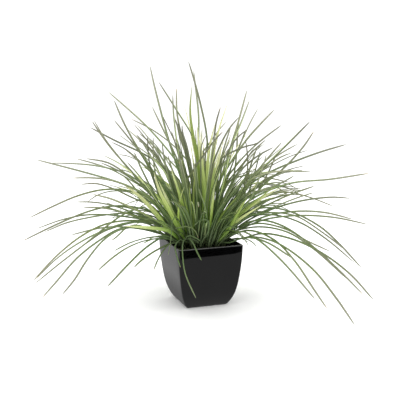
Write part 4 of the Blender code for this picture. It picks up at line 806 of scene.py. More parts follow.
def crossing_leaves(tufts, marks, pale, seed, pool=24000, most=60):
    """Small leaves chosen, out of many, for the marked squares that they cross."""
    rng = np.random.default_rng(seed)
    low = {"centre": (78, 40, 0.14, 180), "inner": (66, 20, 0.14, 42), "middle": (50, -20, 0.12, 30),
           "outer": (40, -50, 0.11, 24)}
    top = {"centre": (88, 80, 0.27), "inner": (86, 72, 0.27), "middle": (80, 55, 0.27), "outer": (74, 40, 0.24)}
    which = rng.integers(0, len(tufts), pool)
    rows = np.array([[*low[t["ring"]][:3], *top[t["ring"]], low[t["ring"]][3], t["az"]] for t in tufts])[which]
    r = rng.uniform(0, 1, (pool, 4))
    first, last, length = (rows[:, i] + (rows[:, i + 3] - rows[:, i]) * r[:, i] for i in range(3))
    az = rows[:, 7] + rows[:, 6] * (2 * r[:, 3] - 1)
    turn_by = np.radians(az + rng.uniform(-40, 40, pool))
    far = CROWN_RADIUS * rng.uniform(0.1, 0.45, pool)
    base = (np.array([t["top"] for t in tufts])[which]
            + np.column_stack([far * np.cos(turn_by), far * np.sin(turn_by), np.zeros(pool)]))
    a = np.radians(az)
    q = np.linspace(0, 1, 33)
    mid = (q[1:] + q[:-1]) / 2
    e = np.radians(first[:, None] + (last - first)[:, None] * mid ** 1.15)
    step = (length / 32)[:, None, None] * np.stack([np.cos(a)[:, None] * np.cos(e), np.sin(a)[:, None] * np.cos(e),
                                                    np.sin(e)], -1)
    lines = np.concatenate([base[:, None, :], base[:, None, :] + np.cumsum(step, 1)], 1)
    squares = see(lines)
    cost = np.zeros(pool)
    for places, counts, room in ((SHOWN, lines[..., 1] < 0.0, 0.7), (OPEN, lines[..., 2] > CROWN_TOP, 0.7),
                                 (LIGHT, lines[..., 2] > CROWN_TOP, 0.0)):
        for u, v, reach in places:
            d = np.hypot(squares[..., 0] - u, squares[..., 1] - v)
            cost += ((d < reach + room) & counts).sum(1)
    hits = np.stack([np.hypot(squares[..., 0] - u, squares[..., 1] - v).min(1) < 1.5 for u, v, _ in marks], 1)
    need = np.array([float(n) for _, _, n in marks])
    held = {t["name"]: 0 for t in tufts}
    used = np.zeros(pool, bool)
    out = []
    while len(out) < most:
        gain = (hits * np.clip(need, 0, None)).sum(1) - (0.25 if pale else 0.8) * cost
        gain[used] = -9.0
        if pale:
            gain[lines[:, -1, 1] < 0.0] = -9.0
        i = int(np.argmax(gain))
        if gain[i] <= 0:
            break
        used[i] = True
        t = tufts[which[i]]
        if held[t["name"]] > 4 or not inside(squares[i, -1], OUTLINE) or not inside(squares[i, -4], OUTLINE):
            continue
        held[t["name"]] += 1
        need -= hits[i]
        curve = smooth(lines[i], 61)
        whole = arc(curve)[-1]
        start = min(0.030, 0.3 * whole)
        g = np.concatenate([[0.0], start + (whole - start) * np.linspace(0, 1, 5 if whole > 0.12 else 4)])
        out.append({"tuft": t["name"], "ring": t["ring"][0], "kind": V if pale else G,
                    "w": rng.uniform(3.4, 4.4) / 1000.0 if pale else rng.uniform(2.7, 3.3) / 1000.0,
                    "drawn": False, "pale": pale, "outward": np.array([math.cos(turn_by[i]), math.sin(turn_by[i]), 0.0]),
                    "nodes": at_arc(curve, g), "path": curve, "g": g, "laid": at_arc(curve, g), "extra": True})
    return out


def bends(nodes):
    """How far a chain of points turns at each of its middle points, in degrees."""
    d = np.diff(nodes, axis=0)
    d /= np.linalg.norm(d, axis=1)[:, None]
    return np.degrees(np.arccos(np.clip((d[:-1] * d[1:]).sum(1), -1, 1)))


# ------------------------------------------------------------------ fine leaf surfaces
SLENDER_X = np.array([-1.0, -0.60, 0.0, 0.60, 1.0, 0.66, 0.0, -0.66])
SLENDER_Y = np.array([0.06, 0.20, 0.13, 0.20, 0.06, -0.17, -0.30, -0.17])
BROAD_X = np.array([-1.0, -0.66, -0.33, 0.0, 0.33, 0.66, 1.0, 0.66, 0.33, 0.0, -0.33, -0.66])
BROAD_Y = np.array([0.115, 0.100, 0.060, 0.005, 0.060, 0.100, 0.115, 0.045, -0.015, -0.060, -0.015, 0.045])


def fine_width(kind, s):
    if kind != G:
        return np.interp(s, (0, 0.05, 0.12, 0.3, 0.45, 0.65, 0.8, 0.9, 0.96, 1.0),
                         (0.42, 0.50, 0.62, 0.94, 1.0, 0.86, 0.62, 0.40, 0.22, 0.04))
    return np.interp(s, (0, 0.05, 0.15, 0.3, 0.6, 0.8, 0.9, 0.95, 0.98, 1.0),
                     (0.62, 0.76, 0.92, 1.0, 1.0, 0.98, 0.90, 0.78, 0.56, 0.12))


def fine_line(l):
    """The leaf's own line, shifted smoothly so that it still passes through its rings."""
    g, shift = l["g"], l["nodes"] - l["laid"]
    slope = np.zeros_like(shift)
    slope[1:-1] = (shift[2:] - shift[:-2]) / (g[2:] - g[:-2])[:, None]
    slope[-1] = (shift[-1] - shift[-2]) / (g[-1] - g[-2])
    s = arc(l["path"])
    i = np.clip(np.searchsorted(g, s) - 1, 0, len(g) - 2)
    d = (g[i + 1] - g[i])[:, None]
    t = np.clip((s[:, None] - g[i][:, None]) / d, 0.0, 1.0)
    move = ((1 + 2 * t) * (1 - t) ** 2 * shift[i] + t * (1 - t) ** 2 * d * slope[i]
            + t * t * (3 - 2 * t) * shift[i + 1] + t * t * (t - 1) * d * slope[i + 1])
    return l["path"] + move


def fine_frames(P, side0, face, rng, kind):
    T = np.zeros_like(P)
    T[1:-1] = P[2:] - P[:-2]
    T[0] = P[1] - P[0]
    T[-1] = P[-1] - P[-2]
    T /= np.linalg.norm(T, axis=1)[:, None]
    side = side0 - T[0] * float(side0 @ T[0])
    side /= np.linalg.norm(side)
    out = [side]
    for i in range(1, len(P)):
        axis = np.cross(T[i - 1], T[i])
        n = np.linalg.norm(axis)
        if n > 1e-9:
            side = rotate(side, axis / n, math.atan2(n, float(T[i - 1] @ T[i])))
        side = side - T[i] * float(side @ T[i])
        side /= np.linalg.norm(side)
        out.append(side)
    s = arc(P)
    s = s / s[-1]
    m = len(P) // 2
    want = np.cross(T[m], face)
    roll = 0.0
    if np.linalg.norm(want) > 0.15:
        want /= np.linalg.norm(want)
        roll = math.atan2(float(np.cross(out[m], want) @ T[m]), float(out[m] @ want))
        if roll > math.pi / 2:
            roll -= math.pi
        if roll < -math.pi / 2:
            roll += math.pi
    amp = rng.uniform(0.05, 0.30) if kind == G else rng.uniform(0.03, 0.15)
    freq, phase = rng.uniform(0.5, 1.3), rng.uniform(0, 2 * math.pi)
    S, F = [], []
    for i in range(len(P)):
        k = min(1.0, s[i] / 0.3)
        k = k * k * (3 - 2 * k)
        extra = amp * (math.sin(2 * math.pi * freq * s[i] + phase) - math.sin(phase)) * k
        sd = rotate(out[i], T[i], roll * k + extra)
        S.append(sd)
        F.append(np.cross(T[i], sd))
    return np.array(S), np.array(F), s


class Surface:
    """Collects rings of points into one mesh with its map and its attributes."""

    def __init__(self):
        self.v, self.f, self.uv, self.mat = [], [], [], []
        self.leaf, self.tint, self.reach, self.look = [], [], [], []
        self.n = 0
        self.rows = 0

    def tube(self, rings, across, side, s, rnd, tint, mat, row, reach=1.0, look=(0.0, 0.0, 1.0)):
        """rings: (n, m, 3). The last ring closes to a point, the first with a flat cap."""
        n, m, _ = rings.shape
        o = self.n
        tip = rings[-1].mean(0)
        pts = np.vstack([rings[:-1].reshape(-1, 3), tip[None]])
        self.v.append(pts)
        ss = np.repeat(s[:-1], m)
        aa = np.tile(across, n - 1)
        sd = np.tile(side, n - 1)
        self.leaf.append(np.column_stack([np.append(ss, 1.0), np.append(aa, 0.0),
                                          np.full(len(ss) + 1, rnd)]))
        self.tint.append(np.column_stack([np.append(sd, 0.0), np.full(len(ss) + 1, tint[0]),
                                          np.full(len(ss) + 1, tint[1])]))
        self.reach.append(np.append(ss, 1.0) * reach)
        self.look.append(np.tile(look, (len(ss) + 1, 1)))
        lo, hi = row
        lanes = lo + (hi - lo) * (0.06 + 0.88 * np.arange(m + 1) / m)
        u = 0.008 + 0.984 * s
        for i in range(n - 2):
            for j in range(m):
                k = (j + 1) % m
                a, b = o + i * m + j, o + i * m + k
                self.f.append((a, b, b + m, a + m))
                self.uv += [(u[i], lanes[j]), (u[i], lanes[j + 1]), (u[i + 1], lanes[j + 1]), (u[i + 1], lanes[j])]
                self.mat.append(mat)
        t = o + (n - 1) * m
        i = n - 2
        for j in range(m):
            k = (j + 1) % m
            self.f.append((o + i * m + j, o + i * m + k, t))
            self.uv += [(u[i], lanes[j]), (u[i], lanes[j + 1]), (u[-1], (lanes[j] + lanes[j + 1]) / 2)]
            self.mat.append(mat)
        self.f.append(tuple(o + j for j in reversed(range(m))))
        self.uv += [(u[0] * 0.5, lanes[j]) for j in reversed(range(m))]
        self.mat.append(mat)
        self.n += len(pts)

    def build(self, name, mats):
        me = bpy.data.meshes.new(name)
        v = np.vstack(self.v)
        me.from_pydata([tuple(p) for p in v], [], self.f)
        for m in mats:
            me.materials.append(m)
        me.polygons.foreach_set("material_index", np.array(self.mat, np.int32))
        me.polygons.foreach_set("use_smooth", np.ones(len(self.f), bool))
        uv = me.uv_layers.new(name="OFBake")
        uv.uv.foreach_set("vector", np.array(self.uv, np.float32).ravel())
        for key, rows in (("leaf", self.leaf), ("tint", self.tint), ("look", self.look)):
            at = me.attributes.new(key, "FLOAT_VECTOR", "POINT")
            at.data.foreach_set("vector", np.vstack(rows).astype(np.float32).ravel())
        at = me.attributes.new("reach", "FLOAT", "POINT")
        at.data.foreach_set("value", np.concatenate(self.reach).astype(np.float32))
        me.update()
        bm = bmesh.new()
        bm.from_mesh(me)
        bmesh.ops.recalc_face_normals(bm, faces=bm.faces)
        bm.to_mesh(me)
        bm.free()
        ob = bpy.data.objects.new(name, me)
        bpy.context.scene.collection.objects.link(ob)
        return ob


# the broad leaves of the front, by the square of their tip: how cream, how bright
LOOKS = {(184, 187): (0.05, 1.0), (170, 163): (0.12, 1.10), (153.8, 172): (0.22, 0.74), (121, 183): (0.60, 0.84),
         (124, 226): (0.50, 0.97), (155, 175): (0.95, 1.10), (183.5, 193): (0.0, 0.90), (192, 85): (0.10, 0.84),
         (197, 126): (0.30, 0.90), (200.8, 127): (1.0, 1.0), (214.3, 186.5): (0.15, 0.95), (228, 102): (0.70, 1.0),
         (215.5, 122): (0.40, 0.95), (190, 184): (0.20, 1.0), (195, 172): (0.20, 1.0), (183.5, 102): (1.0, 0.95),
         (181, 156): (0.20, 1.0), (261, 205.5): (0.60, 0.90), (282, 187): (0.50, 0.80), (247, 198): (0.10, 1.10),
         (237, 197): (0.10, 1.0), (259.5, 178): (0.80, 1.0), (234, 185): (0.90, 1.0), (278, 185): (0.20, 1.0)}


def look_of(l):
    """Plainness, cream and brightness: only the broad drawn leaves have their own."""
    if l.get("pale"):
        return 1.0, 0.8, 0.85
    if l["kind"] == G or not l["drawn"]:
        return 0.0, 0.0, 1.0
    tip = see(l["path"][-1])
    cream, bright = LOOKS[min(LOOKS, key=lambda q: math.hypot(q[0] - tip[0], q[1] - tip[1]))]
    return 1.0, cream, bright


def add_leaf(surf, l, row, rng):
    kind, w = l["kind"], l["w"]
    length = arc(l["nodes"])[-1]
    n = int(np.clip(round(length / 0.0105), 12, 30))
    # rings stand closer together towards the tip, where the leaf narrows
    curve = turned(fine_line(l))
    total = arc(curve)[-1]
    q = np.linspace(0, 1, n)
    q = np.append(q[:-1] ** 0.94, 1.0)
    q = np.insert(q, -1, [1 - 0.45 * (1 - q[-2]), 1 - 0.16 * (1 - q[-2])])
    P = at_arc(curve, q * total)
    if not l.get("extra"):
        P[0] -= [0, 0, 0.002]
    else:
        P[0] -= [0, 0, 0.004]
    outward = turned(l["outward"])
    side0 = np.array([-outward[1], outward[0], 0.0])
    face = l["face"]
    S, F, s = fine_frames(P, side0, face, rng, kind)
    # the groove looks in towards the middle of its own crown
    flip = 1.0 if float(F[2] @ (-outward)) >= 0 else -1.0
    X, Y = (SLENDER_X, SLENDER_Y) if kind == G else (BROAD_X, BROAD_Y)
    half = 0.5 * w * fine_width(kind, s)
    deep = w * (0.35 + 0.65 * fine_width(kind, s)) * np.where(s > 0.97, (1 - s) / 0.03 * 0.8 + 0.2, 1.0)
    if kind != G:
        deep = np.minimum(deep, 0.0075)
    rings = (P[:, None, :] + S[:, None, :] * (half[:, None] * X[None, :])[:, :, None]
             + F[:, None, :] * flip * (deep[:, None] * Y[None, :])[:, :, None])
    rnd = float(rng.uniform(0, 1))
    tint = (float(np.clip(rng.normal(0, 1), -1.0, 1.6)), float(rng.normal(0, 1)))
    look = look_of(l)
    if look[0]:
        tint = (0.0, 0.0)
    elif l["ring"] == "o":
        # the low, arching leaves are all much the same dull green
        tint = (0.45 * tint[0] - 0.15, min(tint[1], 0.5))
    side = np.where(np.arange(len(X)) < (5 if kind == G else 7), 1.0, -1.0)
    reach = float(np.clip(length / (0.25 if kind == G else 0.16), 0.30, 1.0))
    surf.tube(rings, X, side, s, rnd, tint, (G, V, O).index(kind), row, reach, look)


def add_crown(surf, t, row, rng):
    """The short sheath of a tuft, ribbed and a little swollen at its foot."""
    m, heights = 20, np.array([0.0, 0.0015, 0.004, 0.0075, 0.0105, 0.0128, 0.0140, 0.0145])
    scale = np.array([0.98, 1.05, 1.04, 0.98, 0.97, 0.94, 0.72, 0.02])
    ang = np.linspace(0, 2 * math.pi, m, endpoint=False)
    ribs = 1.0 + 0.045 * np.cos(ang * 7 + rng.uniform(0, 6)) + 0.02 * np.cos(ang * 13)
    rings = []
    for h, k in zip(heights, scale):
        r = CROWN_RADIUS * 0.95 * k * ribs
        p = np.column_stack([t["top"][0] + r * np.cos(ang), t["top"][1] + r * np.sin(ang),
                             np.full(m, SOIL_TOP - 0.0008 + h)])
        rings.append(turned(p))
    rings = np.array(rings)
    s = heights / heights[-1]
    surf.tube(rings, np.cos(ang), np.ones(m), s, float(rng.uniform(0, 1)), (0.0, 0.0), 3, row)


# ------------------------------------------------------------------ node helpers
class Nodes:
    def __init__(self, name):
        self.mat = bpy.data.materials.new(name)
        self.mat.use_nodes = True
        self.nt = self.mat.node_tree
        self.bsdf = self.nt.nodes["Principled BSDF"]

    def new(self, kind, **values):
        n = self.nt.nodes.new(kind)
        for k, v in values.items():
            setattr(n, k, v)
        return n

    def put(self, socket, value):
        if hasattr(value, "is_output"):
            self.nt.links.new(value, socket)
        elif isinstance(value, (tuple, list)) and len(value) == 3 and len(socket.default_value) == 4:
            socket.default_value = (*value, 1.0)
        else:
            socket.default_value = value

    def math(self, op, a, b=0.0, c=None, clamp=False):
        n = self.new("ShaderNodeMath", operation=op, use_clamp=clamp)
        self.put(n.inputs[0], a)
        self.put(n.inputs[1], b)
        if c is not None:
            self.put(n.inputs[2], c)
        return n.outputs[0]

    def attribute(self, name):
        a = self.new("ShaderNodeAttribute", attribute_name=name)
        s = self.new("ShaderNodeSeparateXYZ")
        self.nt.links.new(a.outputs["Vector"], s.inputs[0])
        return s.outputs

    def value(self, name):
        return self.new("ShaderNodeAttribute", attribute_name=name).outputs["Fac"]

    def combine(self, x, y, z):
        n = self.new("ShaderNodeCombineXYZ")
        for i, v in enumerate((x, y, z)):
            self.put(n.inputs[i], v)
        return n.outputs[0]

    def noise(self, vector, scale, detail=2.0, rough=0.5, distortion=0.0):
        n = self.new("ShaderNodeTexNoise")
        self.put(n.inputs["Vector"], vector)
        n.inputs["Scale"].default_value = scale
        n.inputs["Detail"].default_value = detail
        n.inputs["Roughness"].default_value = rough
        n.inputs["Distortion"].default_value = distortion
        return n.outputs["Fac"]

    def voronoi(self, vector, scale, feature="F1"):
        n = self.new("ShaderNodeTexVoronoi", feature=feature)
        self.put(n.inputs["Vector"], vector)
        n.inputs["Scale"].default_value = scale
        return n.outputs

    def ramp(self, fac, stops, interpolation="LINEAR"):
        n = self.new("ShaderNodeValToRGB")
        n.color_ramp.interpolation = interpolation
        el = n.color_ramp.elements
        while len(el) > 1:
            el.remove(el[-1])
        el[0].position = stops[0][0]
        el[0].color = (*stops[0][1], 1.0)
        for p, c in stops[1:]:
            e = el.new(p)
            e.color = (*c, 1.0)
        self.put(n.inputs[0], fac)
        return n.outputs[0]

    def mix(self, fac, a, b, blend="MIX"):
        n = self.new("ShaderNodeMix", data_type="RGBA", blend_type=blend)
        self.put(n.inputs[0], fac)
        self.put(n.inputs[6], a)
        self.put(n.inputs[7], b)
        return n.outputs[2]

    def span(self, value, a, b, c=0.0, d=1.0, clamp=True):
        n = self.new("ShaderNodeMapRange", clamp=clamp)
        self.put(n.inputs[0], value)
        for i, v in enumerate((a, b, c, d)):
            n.inputs[i + 1].default_value = v
        return n.outputs[0]

    def hsv(self, colour, hue, sat, val):
        n = self.new("ShaderNodeHueSaturation")
        self.put(n.inputs["Hue"], hue)
        self.put(n.inputs["Saturation"], sat)
        self.put(n.inputs["Value"], val)
        self.put(n.inputs["Color"], colour)
        return n.outputs[0]

    def bump(self, height, strength, distance, normal=None):
        n = self.new("ShaderNodeBump")
        n.inputs["Strength"].default_value = strength
        n.inputs["Distance"].default_value = distance
        self.put(n.inputs["Height"], height)
        if normal is not None:
            self.put(n.inputs["Normal"], normal)
        return n.outputs[0]

    def done(self, colour=None, rough=None, normal=None, **values):
        if colour is not None:
            self.put(self.bsdf.inputs["Base Color"], colour)
        if rough is not None:
            self.put(self.bsdf.inputs["Roughness"], rough)
        if normal is not None:
            self.put(self.bsdf.inputs["Normal"], normal)
        for k, v in values.items():
            self.bsdf.inputs[k.replace("_", " ")].default_value = v
        return self.mat


def streaks(k, s, a, r, along, across, scale, detail=3.0):
    v = k.combine(k.math("MULTIPLY_ADD", r, 37.0, k.math("MULTIPLY", s, along)),
                  k.math("MULTIPLY", a, across), k.math("MULTIPLY", r, 91.0))
    return k.noise(v, scale, detail)


def green_leaf():
    k = Nodes("leaf_green")
    s, a, r = k.attribute("leaf")
    side, val, hue = k.attribute("tint")
    # colour along the leaf from foot to tip, greyer at the tip; the very dark foot is partly the leaf's deeper green
    # and partly painted shade where the leaves crowd at the crown, and short leaves keep more of it
    col = k.ramp(k.value("reach"), [(0.0, (0.012, 0.026, 0.007)), (0.12, (0.031, 0.067, 0.014)),
                                    (0.35, (0.093, 0.167, 0.037)), (0.60, (0.150, 0.194, 0.076)),
                                    (0.85, (0.224, 0.228, 0.157)), (1.0, (0.270, 0.260, 0.202))])
    # lengthwise fibres and soft mottling
    fibre = streaks(k, s, a, r, 5.0, 5.0, 3.2)
    patch = streaks(k, s, a, r, 9.0, 0.7, 1.3, 2.0)
    light = k.mix(0.5, col, (0.302, 0.330, 0.182))
    col = k.mix(k.span(fibre, 0.36, 0.66, 0.0, 0.45), col, light)
    col = k.mix(k.span(patch, 0.30, 0.62, 0.45, 0.0), col, k.mix(1.0, col, (0.55, 0.62, 0.50), "MULTIPLY"))
    # painted highlight down the middle of the leaf and painted shade along its margins, as on a lit, keeled leaf
    edge = k.math("ABSOLUTE", a)
    col = k.mix(k.span(edge, 0.0, 0.30, 0.42, 0.0), col, light)
    col = k.mix(k.span(edge, 0.42, 0.95, 0.0, 0.85), col, k.mix(1.0, col, (0.40, 0.46, 0.38), "MULTIPLY"))
    # every fifth leaf or so has a pale band down one half
    pale = k.math("MULTIPLY", k.span(hue, 0.85, 1.0), k.span(a, 0.05, 0.25))
    pale = k.math("MULTIPLY", pale, k.math("MULTIPLY", k.span(s, 0.14, 0.32), k.span(s, 0.96, 0.75)))
    col = k.mix(k.math("MULTIPLY", pale, 0.85), col, (0.520, 0.600, 0.240))
    # the underside is greyer
    col = k.mix(k.span(side, 0.0, -1.0, 0.0, 0.22), col, k.mix(0.5, col, (0.170, 0.205, 0.120)))
    # a few leaves are dry at the very tip
    dry = k.math("MULTIPLY", k.span(s, 0.965, 0.99), k.span(r, 0.82, 0.86))
    col = k.mix(dry, col, (0.330, 0.255, 0.130))
    col = k.hsv(col, k.math("MULTIPLY_ADD", hue, 0.009, 0.5), k.math("MULTIPLY_ADD", hue, -0.04, 1.0),
                k.math("MULTIPLY_ADD", val, 0.30, 1.12))
    ribs = k.math("SINE", k.math("MULTIPLY", a, 21.0))
    height = k.math("MULTIPLY_ADD", ribs, 0.5, fibre)
    return k.done(col, k.span(fibre, 0.3, 0.7, 0.38, 0.56), k.bump(height, 0.35, 0.00015),
                  Specular_IOR_Level=0.40)


def broad_leaf(name, stops, band_at, band_colour, dark):
    """The broad leaves: a ramp from base to tip, pale bands along them and a fine vein."""
    k = Nodes(name)
    s, a, r = k.attribute("leaf")
    side, val, hue = k.attribute("tint")
    # the ramp's dark foot is partly the leaf's deeper green and partly painted shade where the leaves crowd at the
    # crown
    col = k.ramp(k.value("reach"), stops)
    fibre = streaks(k, s, a, r, 4.0, 4.2, 3.4)
    # variegation, in bands along the leaf that differ from leaf to leaf
    bands = streaks(k, s, a, r, 1.2, 1.25, 1.7, 1.0)
    plain, cream, bright = k.attribute("look")
    others = k.math("SUBTRACT", 1.0, plain)
    pale = k.math("MULTIPLY", k.span(bands, band_at, band_at + 0.08), k.span(s, 0.22, 0.50, 0.0, 0.90))
    own = k.math("MULTIPLY", k.math("MULTIPLY", cream, k.span(s, 0.25, 0.70)), k.span(fibre, 0.30, 0.55, 0.70, 1.0))
    col = k.mix(k.math("MAXIMUM", k.math("MULTIPLY", pale, others), own), col, band_colour)
    deep = k.math("MULTIPLY", k.span(bands, 0.40, 0.33), k.span(s, 0.95, 0.55, 0.0, 0.75))
    col = k.mix(k.math("MULTIPLY", deep, others), col, dark)
    col = k.mix(k.span(fibre, 0.35, 0.65, 0.0, 0.25), col, k.mix(0.5, col, band_colour))
    edge = k.math("ABSOLUTE", a)
    col = k.mix(k.span(edge, 0.0, 0.10, 0.45, 0.0), col, k.mix(1.0, col, (0.55, 0.70, 0.40), "MULTIPLY"))
    # painted shade along the margins
    col = k.mix(k.span(edge, 0.70, 0.98, 0.0, 0.60), col, k.mix(1.0, col, (0.60, 0.66, 0.52), "MULTIPLY"))
    col = k.mix(k.span(side, 0.0, -1.0, 0.0, 0.35), col, k.mix(1.0, col, (0.72, 0.80, 0.80), "MULTIPLY"))
    dry = k.math("MULTIPLY", others, k.math("MULTIPLY", k.span(s, 0.95, 0.99), k.span(r, 0.70, 0.76)))
    col = k.mix(dry, col, (0.520, 0.420, 0.230))
    col = k.hsv(col, k.math("MULTIPLY_ADD", hue, 0.007, 0.5), k.math("MULTIPLY_ADD", hue, -0.03, 1.0),
                k.math("MULTIPLY_ADD", val, 0.07, bright))
    ribs = k.math("SINE", k.math("MULTIPLY", a, 38.0))
    height = k.math("MULTIPLY_ADD", ribs, 0.5, fibre)
    return k.done(col, k.span(fibre, 0.3, 0.7, 0.34, 0.52), k.bump(height, 0.35, 0.00018),
                  Specular_IOR_Level=0.40)


def lime_leaf():
    return broad_leaf("leaf_lime", [(0.0, (0.030, 0.062, 0.010)), (0.12, (0.095, 0.205, 0.018)),
                                    (0.26, (0.225, 0.430, 0.033)), (0.45, (0.375, 0.572, 0.058)),
                                    (0.65, (0.545, 0.690, 0.145)), (0.86, (0.740, 0.780, 0.380)),
                                    (1.0, (0.780, 0.750, 0.480))],
                      0.52, (0.860, 0.870, 0.500), (0.150, 0.290, 0.030))


def olive_leaf():
    return broad_leaf("leaf_olive", [(0.0, (0.024, 0.050, 0.009)), (0.15, (0.070, 0.140, 0.016)),
                                     (0.35, (0.160, 0.280, 0.030)), (0.60, (0.250, 0.370, 0.055)),
                                     (0.85, (0.330, 0.420, 0.100)), (1.0, (0.380, 0.420, 0.180))],
                      0.60, (0.620, 0.680, 0.260), (0.095, 0.170, 0.025))


def crown_sheath():
    k = Nodes("crown_sheath")
    s, a, r = k.attribute("leaf")
    col = k.ramp(s, [(0.0, (0.110, 0.075, 0.035)), (0.35, (0.130, 0.120, 0.050)),
                     (0.8, (0.060, 0.095, 0.030)), (1.0, (0.040, 0.070, 0.022))])
    fibre = streaks(k, s, a, r, 1.5, 9.0, 2.4)
    col = k.mix(k.span(fibre, 0.35, 0.65, 0.0, 0.6), col, (0.210, 0.190, 0.100))
    return k.done(col, 0.62, k.bump(fibre, 0.5, 0.0004), Specular_IOR_Level=0.3)


def gloss_black():
    k = Nodes("pot_gloss_black")
    tc = k.new("ShaderNodeTexCoord").outputs["Object"]
    cloud = k.noise(tc, 26.0, 3.0)
    fine = k.noise(tc, 900.0, 2.0)
    dust = k.math("MULTIPLY", k.span(k.noise(tc, 420.0, 3.0, 0.7), 0.62, 0.78), k.span(cloud, 0.45, 0.7))
    xyz = k.new("ShaderNodeSeparateXYZ")
    k.nt.links.new(tc, xyz.inputs[0])
    # painted highlight: the top edge of the rim is painted a lighter grey, and it is rougher there
    rim_painted_highlight = k.math("MULTIPLY", k.span(xyz.outputs[2], HEIGHT - 0.0011, HEIGHT - 0.0004),
                  k.span(k.noise(tc, 160.0, 3.0), 0.25, 0.6, 0.65, 1.0))
    col = k.ramp(cloud, [(0.3, (0.0009, 0.0009, 0.0010)), (0.7, (0.0020, 0.0020, 0.0021))])
    col = k.mix(k.math("MULTIPLY", dust, 0.22), col, (0.020, 0.019, 0.018))
    col = k.mix(rim_painted_highlight, col, (0.120, 0.120, 0.112))
    rough = k.math("ADD", k.span(cloud, 0.35, 0.65, 0.025, 0.055), k.math("MULTIPLY", dust, 0.10))
    rough = k.math("MAXIMUM", rough, k.math("MULTIPLY", rim_painted_highlight, 0.35))
    # the slight ripple of a moulded, lacquered surface
    ripple = k.noise(tc, 55.0, 2.0)
    return k.done(col, rough, k.bump(fine, 0.02, 0.0001, k.bump(ripple, 0.05, 0.0006)),
                  Specular_IOR_Level=0.5)


def soil_grain():
    k = Nodes("soil_grain")
    tc = k.new("ShaderNodeTexCoord").outputs["Object"]
    big = k.noise(tc, 130.0, 4.0, 0.65)
    cells = k.voronoi(tc, 620.0)[0]
    col = k.ramp(big, [(0.30, (0.010, 0.0065, 0.004)), (0.52, (0.026, 0.017, 0.010)), (0.72, (0.060, 0.042, 0.026))])
    fleck = k.span(k.noise(tc, 850.0, 2.0), 0.66, 0.72)
    col = k.mix(fleck, col, (0.150, 0.115, 0.075))
    height = k.math("MULTIPLY_ADD", cells, -0.6, big)
    return k.done(col, k.span(big, 0.3, 0.7, 0.80, 0.98), k.bump(height, 0.7, 0.0012), Specular_IOR_Level=0.25)


# ------------------------------------------------------------------ pot
def spline_half(z):
    """Half width of the pot at a height, on a smooth curve through the profile."""
    h = np.array([p[0] for p in PROFILE]) * HEIGHT
    x = np.array([p[1] for p in PROFILE]) * RIM / 2
    m = np.gradient(x, h)
    i = int(np.clip(np.searchsorted(h, z) - 1, 0, len(h) - 2))
    d = h[i + 1] - h[i]
    t = min(max((z - h[i]) / d, 0.0), 1.0)
    return float((1 + 2 * t) * (1 - t) ** 2 * x[i] + t * (1 - t) ** 2 * d * m[i]
                 + t * t * (3 - 2 * t) * x[i + 1] + t * t * (t - 1) * d * m[i + 1])


def rounded(half, radius, z, steps=8, flat=7):
    """A square with round corners, with points along its sides too."""
    pts = []
    for k in range(4):
        a0 = k * math.pi / 2
        cx = (half - radius) * (1 if k in (0, 3) else -1)
        cy = (half - radius) * (1 if k in (0, 1) else -1)
        arc_pts = [(cx + radius * math.cos(a0 + math.pi / 2 * j / steps),
                    cy + radius * math.sin(a0 + math.pi / 2 * j / steps), z) for j in range(steps + 1)]
        pts += arc_pts
        a1 = a0 + math.pi / 2
        k2 = (k + 1) % 4
        nx = (half - radius) * (1 if k2 in (0, 3) else -1) + radius * math.cos(a1)
        ny = (half - radius) * (1 if k2 in (0, 1) else -1) + radius * math.sin(a1)
        x0, y0, _ = arc_pts[-1]
        for j in range(1, flat):
            f = j / flat
            pts.append((x0 + (nx - x0) * f, y0 + (ny - y0) * f, z))
    return pts


